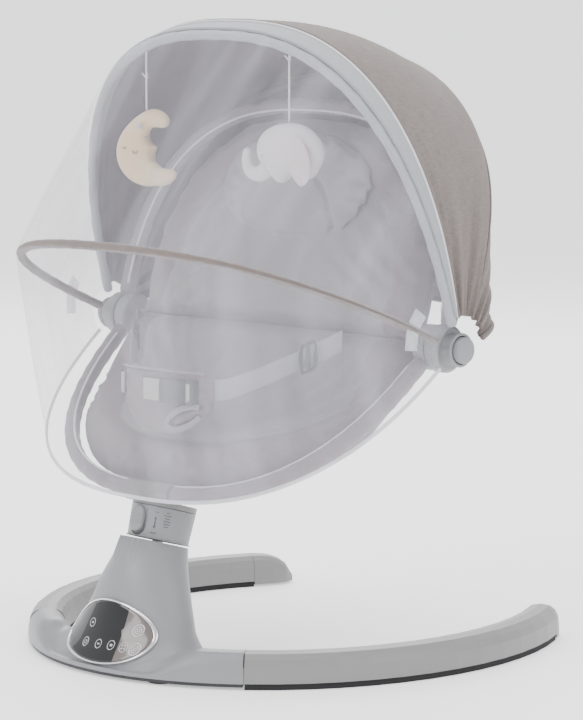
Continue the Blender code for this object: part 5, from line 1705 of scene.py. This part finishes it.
# ---------------------------------------------------------------- toys
class SWING_OT_toys(bpy.types.Operator):
    """Makes the plush crescent and the little elephant, each on its white cord"""
    bl_idname = "swing.toys"
    bl_label = "Toys"

    def execute(self, context):
        self.cord("moon", -TOY_X, 0.5790)
        self.cord("elephant", TOY_X, 0.5724)
        self.moon()
        self.elephant()
        return {"FINISHED"}

    def cord(self, name, x, bottom):
        """A straight hanging cord, with the small bow of its knot round it."""
        top = 0.6480 - 0.0035 - 0.0012
        heights = np.linspace(top, bottom, 24)
        path = np.stack([np.full(24, x), np.full(24, TOY_Y), heights], -1)
        line = tube(name + "_cord_line", path, 0.0011, 0.0011, Y, toy_cord(), 12, round_ends=False)
        tie = bottom + 0.036 if name == "moon" else top - 0.006
        turn = np.linspace(0.0, 2.0 * math.pi, 24, endpoint=False)
        small = np.linspace(0.0, 2.0 * math.pi, 10, endpoint=False)
        centre = np.array([x, TOY_Y, tie])
        spoke = np.cos(turn)[:, None] * X + np.sin(turn)[:, None] * Y
        rings = centre + 0.0018 * spoke[:, None] + 0.0008 * (np.cos(small)[None, :, None] * spoke[:, None]
                                                             + np.sin(small)[None, :, None] * Z)
        knot = hoop(name + "_knot", rings, toy_cord())
        pieces = [knot]
        for side in (-1.0, 1.0):
            tail = smooth_path([centre, centre + (0.0022 * side, -0.0016, 0.0016), centre
                                + (0.0044 * side, -0.0020, 0.0040)], 14)
            pieces.append(tube("%s_knot_tail_%d" % (name, side > 0), tail, 0.0007, 0.0007, Y, toy_cord(), 8))
        finish_piece(line, name, "webbing", name + "_cord")
        for piece in pieces:
            finish_piece(piece, name, "webbing")

    def moon(self):
        """Sections square to an arc round the crescent's middle: the belly is a bell curve of the
        arc's angle, and both horns close in a rounded end."""
        centre = np.array([-0.0942, TOY_Y, 0.5400])
        angle = 185.0 + 133.5 * np.sin(np.linspace(-math.pi / 2, math.pi / 2, 90))
        belly = np.exp(-((angle - 195.0) / np.where(angle < 195.0, 42.0, 52.0)) ** 2)
        reach = 0.0303 + 0.0090 * np.clip((angle - 270.0) / 48.0, 0.0, None)
        end = np.sqrt(np.clip(1.0 - (np.abs(angle - 185.0) / 134.0) ** 10, 0.0, 1.0))
        wide, deep = (0.0095 + 0.0190 * belly) * end, (0.0080 + 0.0060 * belly) * end
        turn = np.linspace(0.0, 2.0 * math.pi, 48, endpoint=False)
        spoke = np.stack([np.cos(np.radians(angle)), np.zeros(90), np.sin(np.radians(angle))], -1)
        rings = centre + (reach[:, None] + wide[:, None] * np.cos(turn))[..., None] * spoke[:, None]
        rings = rings + (deep[:, None] * np.sign(np.sin(turn)) * np.abs(np.sin(turn)) ** 0.8)[..., None] * Y
        body = loft("moon_body", rings, moon_plush())
        finish_piece(body, "moon", "plush_yellow", "moon_toy")
        self.stitch("moon_smile", self.arc(-0.1115, 0.5362, 0.0040, 200.0, 340.0), -0.0808, "moon", stitched_mark(),
                    0.0007)
        self.stitch("moon_eye", self.arc(-0.1285, 0.5395, 0.0026, 200.0, 340.0), -0.0805, "moon", stitched_mark(),
                    0.0006)
        self.stitch("moon_eye_second", self.arc(-0.1000, 0.5520, 0.0026, 200.0, 340.0), -0.0755, "moon",
                    stitched_mark(), 0.0006)
        self.button("moon_cheek", (-0.1081, -0.0765, 0.5618), 0.0034, "moon", blue_felt())
        seam = centre + ((reach + wide * 1.01)[:, None] * spoke)
        finish_piece(tube("moon_seam", seam[4:-4], 0.0006, 0.0006, Y, moon_plush(), 8), "moon", "plush_yellow")

    def arc(self, x, z, radius, low, high):
        turn = np.radians(np.linspace(low, high, 20))
        return np.stack([x + radius * np.cos(turn), z + radius * np.sin(turn)], -1)

    def stitch(self, name, flat, y, body, finish, radius):
        path = np.stack([flat[:, 0], np.full(len(flat), y), flat[:, 1]], -1)
        finish_piece(tube(name, path, radius, radius, Y, finish, 8), body,
                     "plush_yellow" if body == "moon" else "plush_white")

    def button(self, name, spot, radius, body, finish):
        profile = rounded([(0.0, 0.0), (0.0, radius), (0.0010, radius), (0.0014, 0.0)], 0.0008, 4)
        finish_piece(lathe(name, profile, np.array(spot), -Y, finish, 28), body,
                     "plush_yellow" if body == "moon" else "plush_white")

    def elephant(self):
        """The head is a superellipse whose half height follows the profile of brow and cheek; the
        trunk curls up at the left and a big ear lies over the right cheek."""
        s = np.linspace(-0.995, 0.995, 70)
        x = 0.1100 + 0.0455 * s
        girth = np.sqrt(1.0 - s ** 2) ** 0.85
        high = 0.5400 + girth * (0.0315 - 0.004 * np.exp(-((s - 0.95) / 0.3) ** 2))
        low = 0.5400 - girth * (0.0200 + 0.0125 * np.exp(-((s + 0.30) / 0.26) ** 2)
                                + 0.0110 * np.exp(-((s - 0.62) / 0.22) ** 2))
        deep = 0.0170 * girth
        turn = np.linspace(0.0, 2.0 * math.pi, 48, endpoint=False)
        middle, half = (high + low) / 2, (high - low) / 2
        z = middle[:, None] + half[:, None] * np.sin(turn)
        y = TOY_Y + deep[:, None] * np.sign(np.cos(turn)) * np.abs(np.cos(turn)) ** 0.85
        body = loft("elephant_head", np.stack(np.broadcast_arrays(x[:, None], y, z), -1), elephant_plush())
        finish_piece(body, "elephant", "plush_white", "elephant_toy")
        knots = [(0.078, TOY_Y, 0.524), (0.0665, TOY_Y - 0.001, 0.5170), (0.0545, TOY_Y - 0.002, 0.5190),
                 (0.0490, TOY_Y - 0.003, 0.5300), (0.0495, TOY_Y - 0.003, 0.5410)]
        trunk = smooth_path(knots, 40)
        thick = np.linspace(0.0095, 0.0048, 40)
        piece = tube("elephant_trunk", trunk, thick, thick * 0.9, Y, elephant_plush(), 20)
        finish_piece(piece, "elephant", "plush_white")
        across, down = np.meshgrid(np.linspace(-1.0, 1.0, 33), np.linspace(-1.0, 1.0, 33), indexing="ij")
        ear_x = 0.1380 + 0.0165 * across * np.sqrt(1.0 - 0.5 * down ** 2) + 0.003 * down
        ear_z = 0.5330 - 0.0250 * down * np.sqrt(1.0 - 0.5 * across ** 2)
        rim = np.clip((1.0 - across ** 4) * (1.0 - down ** 4), 0.0, 1.0) ** 0.5
        ear_y = TOY_Y - 0.0145 - 0.004 * smoothstep(-1.0, 1.0, across)
        front = np.stack([ear_x, ear_y - 0.0028 * rim - 0.0006, ear_z], -1)
        back = np.stack([ear_x, ear_y + 0.0020 * rim + 0.0006, ear_z], -1)
        ear = shell("elephant_ear", front, back, ear_plush())
        finish_piece(ear, "elephant", "plush_white")
        self.button("elephant_eye", (0.0815, TOY_Y - 0.0128, 0.5370), 0.0019, "elephant", blue_felt())


# ---------------------------------------------------------------- add-on
class SWING_PT_builder(bpy.types.Panel):
    """Lists the swing's sizes, colours and the operators that build it"""
    bl_idname = "SWING_PT_builder"
    bl_label = "Baby swing"
    bl_space_type = "VIEW_3D"
    bl_region_type = "UI"
    bl_category = "Swing"

    def draw(self, context):
        for group in (context.scene.swing_plastics, context.scene.swing_fabrics, context.scene.swing_stage):
            box = self.layout.box()
            for name in group.__annotations__:
                box.prop(group, name)
        for operator in OPERATORS:
            self.layout.operator(operator.bl_idname)


OPERATORS = (SWING_OT_stage, SWING_OT_toys, SWING_OT_housing, SWING_OT_base_details, SWING_OT_panel, SWING_OT_neck,
             SWING_OT_hubs, SWING_OT_seat_edges, SWING_OT_seat_pads, SWING_OT_head_pillow, SWING_OT_harness,
             SWING_OT_canopy, SWING_OT_net)
GROUPS = (SwingPlastics, SwingFabrics, SwingStage)


def register():
    for item in GROUPS + OPERATORS + (SWING_PT_builder,):
        bpy.utils.register_class(item)
    bpy.types.Scene.swing_plastics = bpy.props.PointerProperty(type=SwingPlastics)
    bpy.types.Scene.swing_fabrics = bpy.props.PointerProperty(type=SwingFabrics)
    bpy.types.Scene.swing_stage = bpy.props.PointerProperty(type=SwingStage)


def unregister():
    for name in ("swing_plastics", "swing_fabrics", "swing_stage"):
        delattr(bpy.types.Scene, name)
    for item in reversed(GROUPS + OPERATORS + (SWING_PT_builder,)):
        bpy.utils.unregister_class(item)


def main():
    register()
    for operator in OPERATORS:
        group, name = operator.bl_idname.split(".")
        getattr(getattr(bpy.ops, group), name)()


if __name__ == "__main__":
    main()
